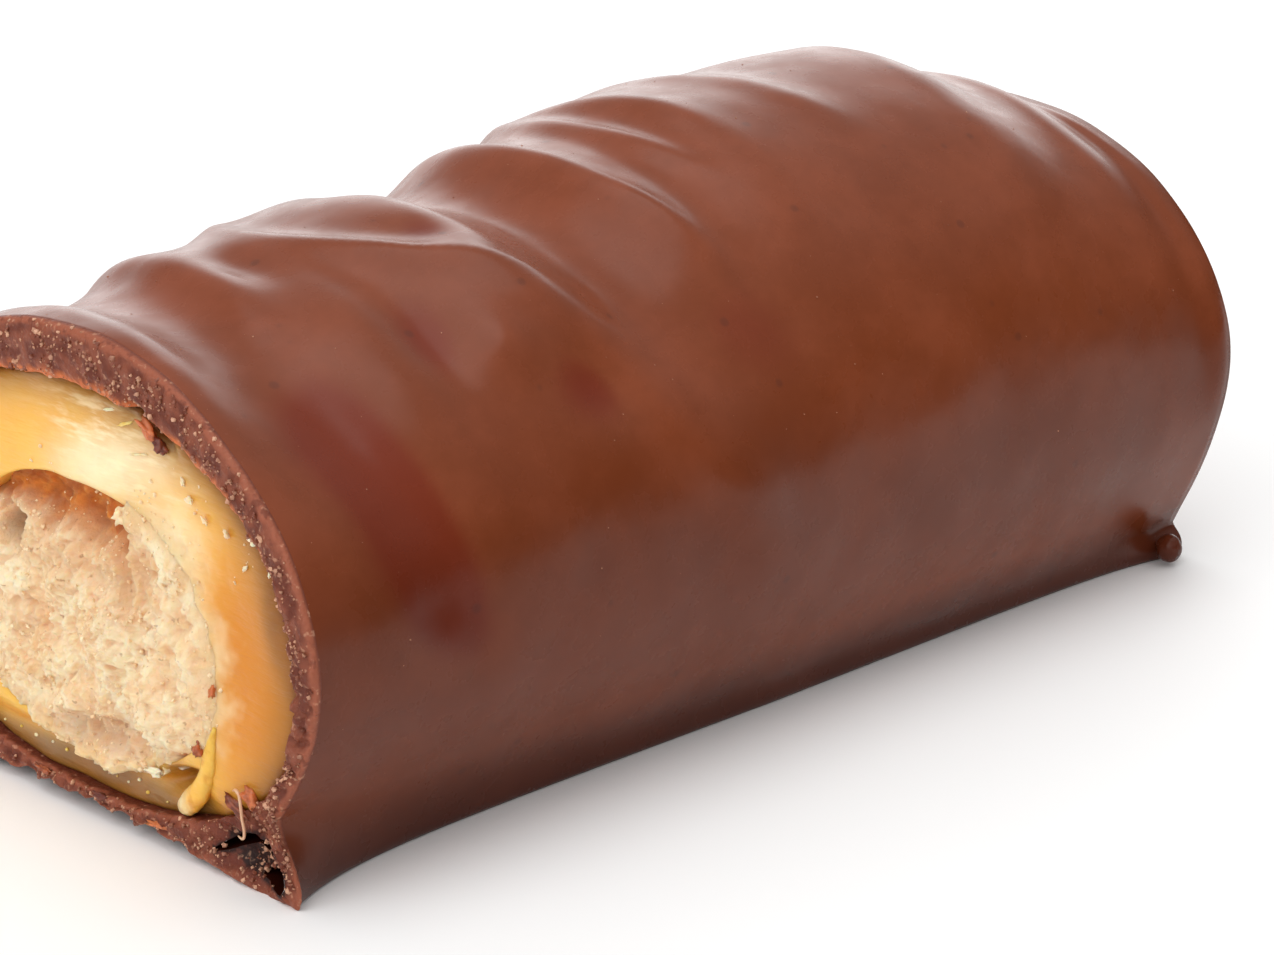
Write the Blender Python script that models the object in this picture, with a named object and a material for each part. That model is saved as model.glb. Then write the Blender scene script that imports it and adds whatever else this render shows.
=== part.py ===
"""Chocolate-coated caramel bar with a crumbly centre, cut across at one end.

+X runs along the bar from the cut end to the coated end, +Z is up, and the origin lies on the
resting surface under the middle of the bar. Three pieces nest in each other: the chocolate
coating is a cup open at the cut, the caramel layer is a tube inside it, and the crumb centre
fills the tube. All driving sizes are millimetres, and angles are degrees round the bar from its
top line, positive towards -Y.
"""

import math
from typing import NamedTuple

import bmesh
import bpy
from mathutils import Vector, noise

MM = 0.001

# Length and the clearance between pieces that touch
CUT_X = -26.1
END_X = 26.1
CLEARANCE = 0.3

# Outside of the coating, across the bar
HALF_WIDTH = 13.6
WIDEST_Z = 8.7
PINCH_HALF_WIDTH = 11.2
PINCH_Z_AT_CUT = 3.2
PINCH_Z_AT_END = 1.5
FOOT_FLARE_AT_CUT = 1.1
FOOT_FLARE_FADE_FROM_CUT = 3.5
FOOT_FLARE_AT_END = 0.75
FOOT_FLARE_FADE_FROM_END = 16.0
FOOT_HEIGHT = 0.6
FOOT_TOE = 0.25
FLAT_FOOT_WIDTH = 2.6
BELLY_RISE = 0.45
BELLY_FADE_X = (-23.0, -13.0)

# Angles where the outline passes from one stretch to the next
SIDE_TURN = 90.0
PINCH_TURN = 118.0
FOOT_TURN = 130.0
UNDER_TURN = 180.0

# Height of the top line: (x, height) at each rise and hollow, joined by smooth steps
TOP_LINE = (
    (CUT_X, 18.8), (-22.5, 18.3), (-16.5, 19.7), (-11.0, 20.9), (-6.5, 19.5),
    (-1.0, 21.3), (4.5, 22.6), (16.0, 22.6), (22.0, 20.9), (END_X, 19.4),
)

# Coated end: (share of the way from its middle to its edge, depth behind the raised lip)
END_RINGS = ((0.35, 0.3), (0.72, 0.35), (0.9, 0.28), (0.95, 0.06), (0.98, 0.0), (1.0, 0.15))
END_BODY_X = 25.5
END_WALL = 1.7

# Drip of chocolate on the foot of the coated end
DRIP_CENTRE = (24.3, -11.85, 0.9)
DRIP_RADII = (0.75, 0.8, 0.85)
DRIP_SEGMENTS = 12
DRIP_RINGS = 8

# Inside of the coating
COAT_ON_TOP = 1.95
COAT_AT_SIDE = 1.3
COAT_UNDER = 0.95
INNER_POWER_ABOVE = 2.15
INNER_POWER_BELOW = 2.5

# Crumb centre
CENTRE_HALF_WIDTH = 7.5
CENTRE_WIDEST_Z = 7.2
CENTRE_TOP_SHARE = 0.69
CENTRE_BOTTOM_Z = 2.6
CENTRE_POWER = 2.3
CENTRE_FRONT_X = -25.7
CENTRE_RECESS = 1.5
CENTRE_RECESS_Z = (9.4, 10.9)
CENTRE_CRAG = 0.55
CENTRE_CRAG_SIZE = 2.1
CENTRE_SEED = 11.0

# Relief of the other two cut faces
RIM_GRAIN = 0.35
RIM_GRAIN_SIZE = 1.1
RIM_SEED = 1.0
CARAMEL_FRONT_X = -25.9
CARAMEL_WAVE = 0.45
CARAMEL_WAVE_SIZE = 3.4
CARAMEL_SEED = 7.0
CARAMEL_SINK_BELOW = 0.9
CARAMEL_SINK_Z = (2.2, 3.4)

# Shares of the way across each cut face where a ring of points lies
RIM_SHARES = (0.35, 0.7, 1.0)
CARAMEL_SHARES = (0.0, 0.3, 0.65, 1.0)
CENTRE_SHARES = (0.0, 0.16, 0.34, 0.52, 0.7, 0.86)

# Mesh spacing
UPPER_STEP = 5.0
SIDE_STEPS = 5
FOOT_STEPS = 6
UNDER_STEPS = 6
RING_SPACING_RIPPLED = 1.05
RING_SPACING_PLAIN = 2.0
RIPPLED_UNTIL_X = 9.5
INNER_RING_COUNT = 8
INNER_AROUND = 44
CENTRE_AROUND = 40


class Ripple(NamedTuple):
    """A crest (or, with a negative height, a furrow) that runs across the bar."""

    top_x: float
    lean: float
    bend: float
    first_turn: float
    last_turn: float
    height: float
    near_width: float
    far_width: float


class Swelling(NamedTuple):
    """A round bump, or a dent with a negative height, on the coating."""

    x: float
    turn: float
    height: float
    radius_along: float
    radius_across: float


# lean and bend are millimetres along the bar for each ten degrees, and its square
RIPPLE_EASE = 12.0
RIPPLES = (
    Ripple(-24.5, -0.22, 0.0, -75.0, 32.0, 0.30, 1.0, 1.3),
    Ripple(-19.4, -0.40, 0.0, -50.0, 12.0, 0.40, 0.9, 1.2),
    Ripple(-15.7, 0.60, 0.42, -30.0, 24.0, 0.45, 1.2, 0.9),
    Ripple(-2.9, 0.0, 0.10, -48.0, 32.0, 0.42, 1.5, 0.8),
    Ripple(0.5, 0.10, 0.15, -40.0, 17.0, 0.24, 0.8, 0.7),
    Ripple(3.0, 0.30, 0.0, -35.0, 9.0, 0.20, 0.9, 0.9),
    Ripple(7.8, 0.75, 0.0, -30.0, 20.0, 0.16, 1.2, 1.4),
    Ripple(-21.4, 0.10, 0.02, 34.0, 92.0, -0.55, 1.9, 0.9),
    Ripple(-13.6, 1.10, 0.0, 26.0, 92.0, 0.55, 1.3, 2.4),
    Ripple(25.6, 0.0, 0.0, -85.0, 85.0, 0.25, 0.7, 2.0),
    Ripple(-17.5, 0.50, 0.0, -95.0, -38.0, -0.45, 1.6, 1.8),
    Ripple(-6.0, 0.85, 0.0, -100.0, -45.0, 0.40, 1.8, 1.8),
    Ripple(9.0, 0.40, 0.0, -95.0, -50.0, -0.25, 2.4, 2.4),
)

SWELLINGS = (
    Swelling(-13.2, 42.0, 0.35, 1.7, 1.7),
    Swelling(-15.2, 34.0, -0.35, 1.3, 2.3),
    Swelling(-9.8, 54.0, -0.38, 2.0, 1.9),
    Swelling(-11.4, 14.0, -0.28, 1.3, 1.2),
    Swelling(-17.9, 1.0, -0.30, 1.0, 2.0),
    Swelling(-9.5, -13.0, -0.28, 2.0, 1.6),
    Swelling(-2.5, 55.0, -0.22, 2.8, 3.0),
    Swelling(14.5, -8.0, 0.25, 4.5, 5.0),
    Swelling(16.0, -60.0, 0.30, 4.0, 4.0),
    Swelling(-12.0, -55.0, 0.28, 2.4, 2.6),
)

# Two flat pockets left inside the near foot where the cut opens it: (across, up) corners
FOOT_POCKETS = (
    ((-7.6, 0.95), (-8.5, 1.6), (-9.3, 2.1), (-10.2, 2.3), (-10.9, 2.05), (-11.1, 1.7),
     (-10.3, 1.8), (-9.5, 1.5), (-8.5, 1.1)),
    ((-10.0, 0.68), (-10.8, 1.12), (-11.4, 1.2), (-11.52, 0.75), (-11.3, 0.3), (-10.7, 0.42)),
)
POCKET_DEPTH = 6.0
POCKET_TAPER = 0.35
POCKET_OVERSHOOT = 1.0

# Colour, roughness of each material; none is metallic
CHOCOLATE = ((0.19, 0.065, 0.035, 1.0), 0.38)
CARAMEL = ((0.75, 0.40, 0.12, 1.0), 0.35)
CRUMB = ((0.76, 0.55, 0.35, 1.0), 0.85)
SHARP_EDGE = math.radians(50)


def smooth_step(value, low, high):
    """0 below low, 1 above high, with an eased rise between them."""
    share = min(max((value - low) / (high - low), 0.0), 1.0)
    return share * share * (3.0 - 2.0 * share)


def top_height(x):
    """Height of the bar's top line at x."""
    for (start_x, start), (stop_x, stop) in zip(TOP_LINE, TOP_LINE[1:]):
        if x <= stop_x:
            return start + (stop - start) * smooth_step(x, start_x, stop_x)
    return TOP_LINE[-1][1]


def outline_point(x, turn):
    """Across and up, without relief, of the coating's outside. Across is positive at +turn."""
    around = abs(turn)
    along = (x - CUT_X) / (END_X - CUT_X)
    pinch_z = PINCH_Z_AT_CUT + (PINCH_Z_AT_END - PINCH_Z_AT_CUT) * min(max(along * 2.0, 0.0), 1.0)
    flare = FOOT_FLARE_AT_CUT * math.exp(-(x - CUT_X) / FOOT_FLARE_FADE_FROM_CUT)
    flare += FOOT_FLARE_AT_END * math.exp(-(END_X - x) / FOOT_FLARE_FADE_FROM_END)
    toe = PINCH_HALF_WIDTH + flare
    if around <= SIDE_TURN:
        angle = math.radians(around)
        across = HALF_WIDTH * math.sin(angle)
        up = WIDEST_Z + (top_height(x) - WIDEST_Z) * math.cos(angle)
    elif around <= PINCH_TURN:
        share = (around - SIDE_TURN) / (PINCH_TURN - SIDE_TURN)
        across = PINCH_HALF_WIDTH + (HALF_WIDTH - PINCH_HALF_WIDTH) * math.cos(share * math.pi / 2)
        up = WIDEST_Z + (pinch_z - WIDEST_Z) * share
    elif around <= FOOT_TURN:
        share = (around - PINCH_TURN) / (FOOT_TURN - PINCH_TURN)
        down = min(share * 2.0, 1.0)
        tuck = max(share * 2.0 - 1.0, 0.0) * math.pi / 2
        across = PINCH_HALF_WIDTH + flare * (1.0 - math.cos(math.pi * down)) / 2
        across -= FOOT_TOE * (1.0 - math.cos(tuck))
        up = (pinch_z + (FOOT_HEIGHT - pinch_z) * down) * (1.0 - math.sin(tuck))
    else:
        share = (around - FOOT_TURN) / (UNDER_TURN - FOOT_TURN)
        across = (toe - FOOT_TOE) * (1.0 - share)
        rise = BELLY_RISE * (1.0 - smooth_step(x, *BELLY_FADE_X))
        up = rise * smooth_step(toe - across, FLAT_FOOT_WIDTH, PINCH_HALF_WIDTH)
    return math.copysign(across, turn), up


def relief(x, turn):
    """How far the coating stands out from its plain outline at one place."""
    tens = turn / 10.0
    fade_under = 1.0 - smooth_step(abs(turn), SIDE_TURN, PINCH_TURN)
    stand = 0.0
    for ripple in RIPPLES:
        crest = ripple.top_x + ripple.lean * tens + ripple.bend * tens * tens
        offset = x - crest
        width = ripple.near_width if offset < 0 else ripple.far_width
        begun = smooth_step(turn, ripple.first_turn - RIPPLE_EASE, ripple.first_turn + RIPPLE_EASE)
        ended = smooth_step(turn, ripple.last_turn - RIPPLE_EASE, ripple.last_turn + RIPPLE_EASE)
        stand += ripple.height * begun * (1.0 - ended) * math.exp(-(offset / width) ** 2)
    for swelling in SWELLINGS:
        along = (x - swelling.x) / swelling.radius_along
        across = math.radians(turn - swelling.turn) * HALF_WIDTH / swelling.radius_across
        stand += swelling.height * math.exp(-along * along - across * across)
    return stand * fade_under


def coat_point(x, turn):
    """A point of the coating's outside, with its relief along the outline's normal."""
    across, up = outline_point(x, turn)
    before = outline_point(x, turn - 1.0)
    after = outline_point(x, turn + 1.0)
    normal = Vector((before[1] - after[1], after[0] - before[0]))
    stand = relief(x, turn)
    if abs(turn) < PINCH_TURN and normal.length > 0:
        normal.normalize()
        across += normal.x * stand
        up += normal.y * stand
    return Vector((x, -across, up))


def rounded_point(turn, half_width, widest_z, top_z, bottom_z, power_above, power_below):
    """Across and up on a closed outline made of two half superellipses."""
    angle = math.radians(turn)
    sine, cosine = math.sin(angle), math.cos(angle)
    power = power_above if cosine >= 0 else power_below
    reach = top_z - widest_z if cosine >= 0 else widest_z - bottom_z
    across = half_width * math.copysign(abs(sine) ** (2.0 / power), sine)
    up = widest_z + reach * math.copysign(abs(cosine) ** (2.0 / power), cosine)
    return across, up


def coat_inside(x, turn, gap=0.0):
    """Across and up on the coating's inside, or gap further in for the caramel."""
    return rounded_point(
        turn, HALF_WIDTH - COAT_AT_SIDE - gap, WIDEST_Z, top_height(x) - COAT_ON_TOP - gap,
        COAT_UNDER + gap, INNER_POWER_ABOVE, INNER_POWER_BELOW,
    )


def centre_outside(x, turn, gap=0.0):
    """Across and up on the crumb centre's outside, or gap further out for the caramel."""
    return rounded_point(
        turn, CENTRE_HALF_WIDTH + gap, CENTRE_WIDEST_Z, top_height(x) * CENTRE_TOP_SHARE + gap,
        CENTRE_BOTTOM_Z - gap, CENTRE_POWER, CENTRE_POWER,
    )


def grain(point, size, seed):
    """Uneven height from 0 to 1 over a cut face."""
    place = Vector((point.y / size, point.z / size, seed))
    return min(max(0.5 + 0.5 * noise.fractal(place, 1.0, 2.0, 2), 0.0), 1.0)


def spaced(low, high, count):
    """count + 1 even values from low to high."""
    return [low + (high - low) * step / count for step in range(count + 1)]


def coat_turns():
    """Angles round the coating, closer together at the feet."""
    upper = spaced(0.0, SIDE_TURN, round(SIDE_TURN / UPPER_STEP))
    half = upper + spaced(SIDE_TURN, PINCH_TURN, SIDE_STEPS)[1:]
    half += spaced(PINCH_TURN, FOOT_TURN, FOOT_STEPS)[1:]
    half += spaced(FOOT_TURN, UNDER_TURN, UNDER_STEPS)[1:]
    return [-turn for turn in reversed(half[1:-1])] + half


def even_turns(count):
    """Even angles once round."""
    return [-180.0 + 360.0 * (step + 1) / count for step in range(count)]


def coat_stations():
    """Places along the coating for its outer rings, from the coated end to the cut."""
    plain_count = round((END_BODY_X - RIPPLED_UNTIL_X) / RING_SPACING_PLAIN)
    rippled_count = round((RIPPLED_UNTIL_X - CUT_X) / RING_SPACING_RIPPLED)
    plain = spaced(END_BODY_X, RIPPLED_UNTIL_X, plain_count)
    return plain + spaced(RIPPLED_UNTIL_X, CUT_X, rippled_count)[1:]


def coat_end_rings(turns):
    """Rings over the coated end, from near its middle out to its raised lip."""
    body = [coat_point(END_BODY_X, turn) for turn in turns]
    middle = Vector((END_X, 0.0, WIDEST_Z))
    rings = []
    for share, depth in END_RINGS:
        ring = [middle.lerp(point, share) for point in body]
        for point in ring:
            point.x = END_X - depth
        rings.append(ring)
    return middle - Vector((END_RINGS[0][1], 0.0, 0.0)), rings


def cut_face_ring(outer, inner, share):
    """A ring part of the way across the coating's cut rim, its grain pushed into the bar."""
    ring = []
    for start, stop in zip(outer, inner):
        point = start.lerp(stop, share)
        point.x = CUT_X + RIM_GRAIN * grain(point, RIM_GRAIN_SIZE, RIM_SEED)
        ring.append(point)
    return ring


def placed(x, section):
    """A point from its place along the bar and its (across, up)."""
    return Vector((x, -section[0], section[1]))


def coating_rings():
    """All rings of the coating, from the middle of its end wall's outside to the inside's."""
    turns = coat_turns()
    end_middle, rings = coat_end_rings(turns)
    rings += [[coat_point(x, turn) for turn in turns] for x in coat_stations()]
    outer_edge = rings[-1]
    inner_edge = [placed(CUT_X, coat_inside(CUT_X, turn)) for turn in turns]
    rings[-1] = cut_face_ring(outer_edge, inner_edge, 0.0)
    for share in RIM_SHARES:
        rings.append(cut_face_ring(outer_edge, inner_edge, share))
    inner_end = END_X - END_WALL
    for x in spaced(CUT_X, inner_end, INNER_RING_COUNT)[1:]:
        rings.append([placed(x, coat_inside(x, turn)) for turn in turns])
    return end_middle, rings, Vector((inner_end, 0.0, WIDEST_Z))


def caramel_depth(point):
    """How far the caramel's cut face lies behind its foremost plane."""
    sink = CARAMEL_SINK_BELOW * (1.0 - smooth_step(point.z, *CARAMEL_SINK_Z))
    return CARAMEL_WAVE * grain(point, CARAMEL_WAVE_SIZE, CARAMEL_SEED) + sink


def caramel_rings():
    """Rings of the caramel tube: outside towards the cut, cut face, inside, and back."""
    turns = even_turns(INNER_AROUND)
    back_x = END_X - END_WALL - CLEARANCE
    stations = spaced(back_x, CARAMEL_FRONT_X, INNER_RING_COUNT)
    outside = [[placed(x, coat_inside(x, turn, CLEARANCE)) for turn in turns] for x in stations]
    inside = [[placed(x, centre_outside(x, turn, CLEARANCE)) for turn in turns] for x in stations]
    front = []
    for share in CARAMEL_SHARES:
        ring = []
        for start, stop in zip(outside[-1], inside[-1]):
            point = start.lerp(stop, share)
            point.x = CARAMEL_FRONT_X + caramel_depth(point)
            ring.append(point)
        front.append(ring)
    return outside[:-1] + front + inside[-2::-1]


def centre_depth(point):
    """How far the crumb centre's cut face lies behind its foremost plane."""
    recess = CENTRE_RECESS * smooth_step(point.z, *CENTRE_RECESS_Z)
    return CENTRE_CRAG * grain(point, CENTRE_CRAG_SIZE, CENTRE_SEED) + recess


def centre_rings():
    """Rings of the crumb centre, from the middle of its back to near the middle of its cut."""
    turns = even_turns(CENTRE_AROUND)
    back_x = END_X - END_WALL - CLEARANCE
    stations = spaced(back_x, CENTRE_FRONT_X, INNER_RING_COUNT)
    rings = [[placed(x, centre_outside(x, turn)) for turn in turns] for x in stations]
    middle = Vector((CENTRE_FRONT_X, 0.0, CENTRE_WIDEST_Z))
    edge = rings.pop()
    for share in CENTRE_SHARES:
        ring = [point.lerp(middle, share) for point in edge]
        for point in ring:
            point.x = CENTRE_FRONT_X + centre_depth(point)
        rings.append(ring)
    middle.x += centre_depth(middle)
    return Vector((back_x, 0.0, CENTRE_WIDEST_Z)), rings, middle


def add_ring(mesh, ring):
    """One loop of vertices, in metres."""
    return [mesh.verts.new(point * MM) for point in ring]


def bridge(mesh, ring, following):
    """Four-sided faces from one ring to the next, facing out."""
    count = len(ring)
    for index in range(count):
        after = (index + 1) % count
        mesh.faces.new((ring[index], following[index], following[after], ring[after]))


def close(mesh, ring, middle, reverse):
    """A fan of triangles from a ring to a middle point."""
    tip = mesh.verts.new(middle * MM)
    count = len(ring)
    for index in range(count):
        after = (index + 1) % count
        corners = (ring[index], ring[after], tip)
        mesh.faces.new(corners[::-1] if reverse else corners)


def loft(rings, first_middle=None, last_middle=None):
    """A closed mesh through rings; without middle points, the last ring joins the first."""
    mesh = bmesh.new()
    loops = [add_ring(mesh, ring) for ring in rings]
    for ring, following in zip(loops, loops[1:]):
        bridge(mesh, ring, following)
    if first_middle is None:
        bridge(mesh, loops[-1], loops[0])
    else:
        close(mesh, loops[0], first_middle, False)
        close(mesh, loops[-1], last_middle, True)
    bmesh.ops.recalc_face_normals(mesh, faces=mesh.faces)
    return mesh


def finish_material(name, look):
    """A Principled material from a colour and a roughness."""
    material = bpy.data.materials.new(name)
    material.use_nodes = True
    shader = material.node_tree.nodes["Principled BSDF"]
    shader.inputs["Base Color"].default_value = look[0]
    shader.inputs["Roughness"].default_value = look[1]
    shader.inputs["Metallic"].default_value = 0.0
    material.diffuse_color = look[0]
    return material


def add_object(name, mesh, look, parent):
    """An object of its own for one piece, shaded smooth except at sharp edges."""
    data = bpy.data.meshes.new(name)
    mesh.to_mesh(data)
    mesh.free()
    data.materials.append(finish_material(name, look))
    data.shade_smooth()
    data.set_sharp_from_angle(angle=SHARP_EDGE)
    piece = bpy.data.objects.new(name, data)
    piece.parent = parent
    bpy.context.collection.objects.link(piece)
    return piece


def combine(coating, name, mesh, operation):
    """Cuts a helper shape out of the coating, or joins it on, and hides the helper."""
    helper = add_object(name, mesh, CHOCOLATE, coating.parent)
    helper.hide_render = True
    helper.display_type = "WIRE"
    modifier = coating.modifiers.new(name, "BOOLEAN")
    modifier.operation = operation
    modifier.solver = "EXACT"
    modifier.object = helper


def pocket_shape(corners):
    """A pocket that tapers from the cut face into the foot."""
    middle_across = sum(corner[0] for corner in corners) / len(corners)
    middle_up = sum(corner[1] for corner in corners) / len(corners)
    mesh = bmesh.new()
    loops = []
    for x, scale in ((CUT_X - POCKET_OVERSHOOT, 1.0), (CUT_X + POCKET_DEPTH, POCKET_TAPER)):
        ring = []
        for across, up in corners:
            ring.append(Vector((x, middle_across + (across - middle_across) * scale,
                                middle_up + (up - middle_up) * scale)))
        loops.append(add_ring(mesh, ring))
    bridge(mesh, loops[0], loops[1])
    mesh.faces.new(loops[0])
    mesh.faces.new(loops[1][::-1])
    bmesh.ops.recalc_face_normals(mesh, faces=mesh.faces)
    return mesh


def drip_shape():
    """A small rounded drip."""
    mesh = bmesh.new()
    bmesh.ops.create_uvsphere(
        mesh, u_segments=DRIP_SEGMENTS, v_segments=DRIP_RINGS, radius=1.0,
    )
    bmesh.ops.scale(mesh, vec=Vector(DRIP_RADII) * MM, verts=mesh.verts)
    bmesh.ops.translate(mesh, vec=Vector(DRIP_CENTRE) * MM, verts=mesh.verts)
    return mesh


def clear_scene():
    """Removes every object that is already in the scene."""
    for existing in list(bpy.data.objects):
        bpy.data.objects.remove(existing, do_unlink=True)


def build_bar():
    """Makes the three pieces under one empty at the bar's origin."""
    clear_scene()
    bar = bpy.data.objects.new("bar", None)
    bpy.context.collection.objects.link(bar)

    end_middle, rings, inner_middle = coating_rings()
    coating_mesh = loft(rings, end_middle, inner_middle)
    coating = add_object("chocolate_coating", coating_mesh, CHOCOLATE, bar)
    for number, corners in enumerate(FOOT_POCKETS, start=1):
        combine(coating, f"foot_pocket_{number}", pocket_shape(corners), "DIFFERENCE")
    combine(coating, "foot_drip", drip_shape(), "UNION")

    add_object("caramel_layer", loft(caramel_rings()), CARAMEL, bar)

    back_middle, centre, front_middle = centre_rings()
    add_object("crumb_centre", loft(centre, back_middle, front_middle), CRUMB, bar)


build_bar()
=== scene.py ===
"""Looks of a chocolate-coated caramel bar that is cut across at one end.

The script rebuilds the three nested pieces as fine meshes in the frame of the solids, scatters
the crumbs, granules, bubbles and specks that the solids leave out, and sets the stage. Sizes are
millimetres and angles are degrees round the bar from its top line, positive towards -Y. Places
on the cut are (across, up), with across along Y.
"""

import math
from typing import NamedTuple

import bmesh
import bpy
import numpy as np
from bpy.props import FloatProperty, FloatVectorProperty, IntProperty, PointerProperty
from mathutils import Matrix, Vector, noise


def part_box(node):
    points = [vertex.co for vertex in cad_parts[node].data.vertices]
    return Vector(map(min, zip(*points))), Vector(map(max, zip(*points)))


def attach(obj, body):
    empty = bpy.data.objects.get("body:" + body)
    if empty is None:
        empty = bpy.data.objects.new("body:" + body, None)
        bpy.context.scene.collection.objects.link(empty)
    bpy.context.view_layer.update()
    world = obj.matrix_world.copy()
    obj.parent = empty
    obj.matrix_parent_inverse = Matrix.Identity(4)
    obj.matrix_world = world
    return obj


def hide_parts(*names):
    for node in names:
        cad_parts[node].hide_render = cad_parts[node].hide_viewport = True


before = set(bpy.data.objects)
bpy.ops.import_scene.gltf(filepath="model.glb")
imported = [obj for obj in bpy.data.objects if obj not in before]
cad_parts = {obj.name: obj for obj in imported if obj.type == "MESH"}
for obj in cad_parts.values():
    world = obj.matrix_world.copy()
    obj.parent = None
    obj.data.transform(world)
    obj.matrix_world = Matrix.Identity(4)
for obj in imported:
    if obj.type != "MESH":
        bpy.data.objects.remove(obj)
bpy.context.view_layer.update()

bl_info = {
    "name": "Cut caramel bar",
    "version": (1, 0, 0),
    "blender": (4, 5, 0),
    "location": "3D View > Sidebar > Caramel Bar",
    "description": "Builds a chocolate-coated caramel bar with its cut end, crumbs and stage",
    "category": "Add Mesh",
}

MM = 0.001
BODY = "root"


def linear(red, green, blue):
    """A colour for the shaders from display values between 0 and 255."""
    channels = []
    for value in (red, green, blue):
        share = value / 255.0
        low = share / 12.92
        high = ((share + 0.055) / 1.055) ** 2.4
        channels.append(low if share <= 0.04045 else high)
    return tuple(channels)


# Ends of the bar, read from the coating's solid
CUT_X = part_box("chocolate_coating")[0].x / MM
END_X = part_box("chocolate_coating")[1].x / MM

# Outside of the coating
HALF_WIDTH = 13.6
WIDEST_Z = 8.7
PINCH_HALF_WIDTH = 11.2
PINCH_Z_AT_CUT = 3.2
PINCH_Z_AT_END = 1.5
FOOT_FLARE_AT_CUT = 1.1
FOOT_FLARE_FADE_FROM_CUT = 3.5
FOOT_FLARE_AT_END = 0.75
FOOT_FLARE_FADE_FROM_END = 3.0
FOOT_TUCK = 0.375
FOOT_HEIGHT = 0.6
FOOT_TOE = 0.25
WOBBLE = 0.09
WOBBLE_SIZE = 5.0
WOBBLE_FADE = (118.0, 127.0)
FLAT_FOOT_WIDTH = 2.6
BELLY_REACH = 9.0
BELLY_RISE = 0.55
BELLY_FADE_X = (-23.0, -13.0)
SCALLOP = 0.22
SCALLOP_PITCH = 1.7
SCALLOP_FADE = 1.5
SIDE_TURN = 90.0
PINCH_TURN = 118.0
FOOT_TURN = 130.0
UNDER_TURN = 180.0
TOP_LINE = (
    (CUT_X, 18.8), (-22.5, 18.3), (-16.5, 19.7), (-11.0, 20.9), (-6.5, 19.5),
    (-1.0, 21.3), (4.5, 22.6), (16.0, 22.6), (22.0, 20.9), (END_X, 19.4),
)

# Coated end: (share of the way from its middle to its edge, depth behind the raised lip)
END_RINGS = (
    (0.1, 0.3), (0.35, 0.3), (0.55, 0.33), (0.72, 0.35), (0.84, 0.33), (0.9, 0.28), (0.93, 0.16),
    (0.95, 0.06), (0.965, 0.01), (0.98, 0.0), (0.99, 0.04), (1.0, 0.15),
)
END_BODY_X = 25.5
END_WALL = 1.7

# Inside of the coating and outside of the centre
COAT_ON_TOP = 1.95
COAT_AT_SIDE = 1.3
COAT_UNDER = 1.0
INNER_POWER_ABOVE = 2.15
INNER_POWER_BELOW = 2.5
CENTRE_HALF_WIDTH = 7.5
CENTRE_WIDEST_Z = 7.2
CENTRE_TOP_SHARE = 0.69
CENTRE_BOTTOM_Z = 2.6
CENTRE_POWER = 2.3
OVERLAP = 0.08

# Steps round half of the coating in each stretch, times FINE in the zone at the cut
UPPER_STEPS = 57
SIDE_STEPS = 20
FOOT_STEPS = 13
UNDER_STEPS = 28
FINE = 3
FINE_ZONE = 1.2
FINE_RINGS = 9
BODY_RING_SPACING = 0.225
RIM_RINGS = 18
RIM_WALL_RINGS = 8
RIM_WALL_DEPTH = 1.6
RIM_SPREAD = 1.15
HOLLOW_FULL = 0.3
INSIDE_RINGS = 10


class Ripple(NamedTuple):
    """A crest (or, with a negative height, a furrow) that runs across the bar.

    lean and bend are millimetres along the bar for each ten degrees, and its square.
    """

    top_x: float
    lean: float
    bend: float
    first_turn: float
    last_turn: float
    height: float
    near_width: float
    far_width: float
    crest: float


class Swelling(NamedTuple):
    """A round bump, or a dent with a negative height, on the coating."""

    x: float
    turn: float
    height: float
    radius_along: float
    radius_across: float


class Patch(NamedTuple):
    """A soft-edged oval on the cut face, turned by tilt degrees, with a strength."""

    across: float
    up: float
    half_width: float
    half_height: float
    tilt: float
    strength: float


RIPPLE_EASE = 12.0
RIPPLES = (
    Ripple(-24.5, -0.22, 0.0, -75.0, 32.0, 0.38, 1.0, 1.3, 0.25),
    Ripple(-19.4, -0.40, 0.0, -50.0, 14.0, 0.52, 0.9, 1.2, 0.15),
    Ripple(-15.7, 0.60, 0.42, -30.0, 24.0, 0.52, 1.2, 0.9, 0.12),
    Ripple(-2.9, 0.0, 0.10, -48.0, 34.0, 0.52, 1.4, 0.75, 0.1),
    Ripple(0.5, 0.10, 0.15, -40.0, 19.0, 0.36, 0.8, 0.6, 0.1),
    Ripple(3.0, 0.30, 0.0, -35.0, 12.0, 0.32, 0.9, 0.7, 0.12),
    Ripple(7.8, 0.75, 0.0, -30.0, 20.0, 0.26, 1.2, 1.1, 0.15),
    Ripple(-21.4, 0.10, 0.02, 34.0, 92.0, -0.55, 1.9, 0.9, 0.6),
    Ripple(-13.6, 1.10, 0.0, 26.0, 92.0, 0.55, 1.3, 2.4, 0.5),
    Ripple(25.3, 0.0, 0.0, 14.0, 88.0, 0.42, 0.45, 1.2, 0.1),
    Ripple(25.6, 0.0, 0.0, -85.0, 4.0, 0.16, 0.7, 2.0, 0.3),
    Ripple(-17.5, 0.50, 0.0, -95.0, -38.0, -0.45, 1.6, 1.8, 0.6),
    Ripple(-6.0, 0.85, 0.0, -100.0, -45.0, 0.40, 1.8, 1.8, 0.5),
    Ripple(9.0, 0.40, 0.0, -95.0, -50.0, -0.25, 2.4, 2.4, 0.8),
)

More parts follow.
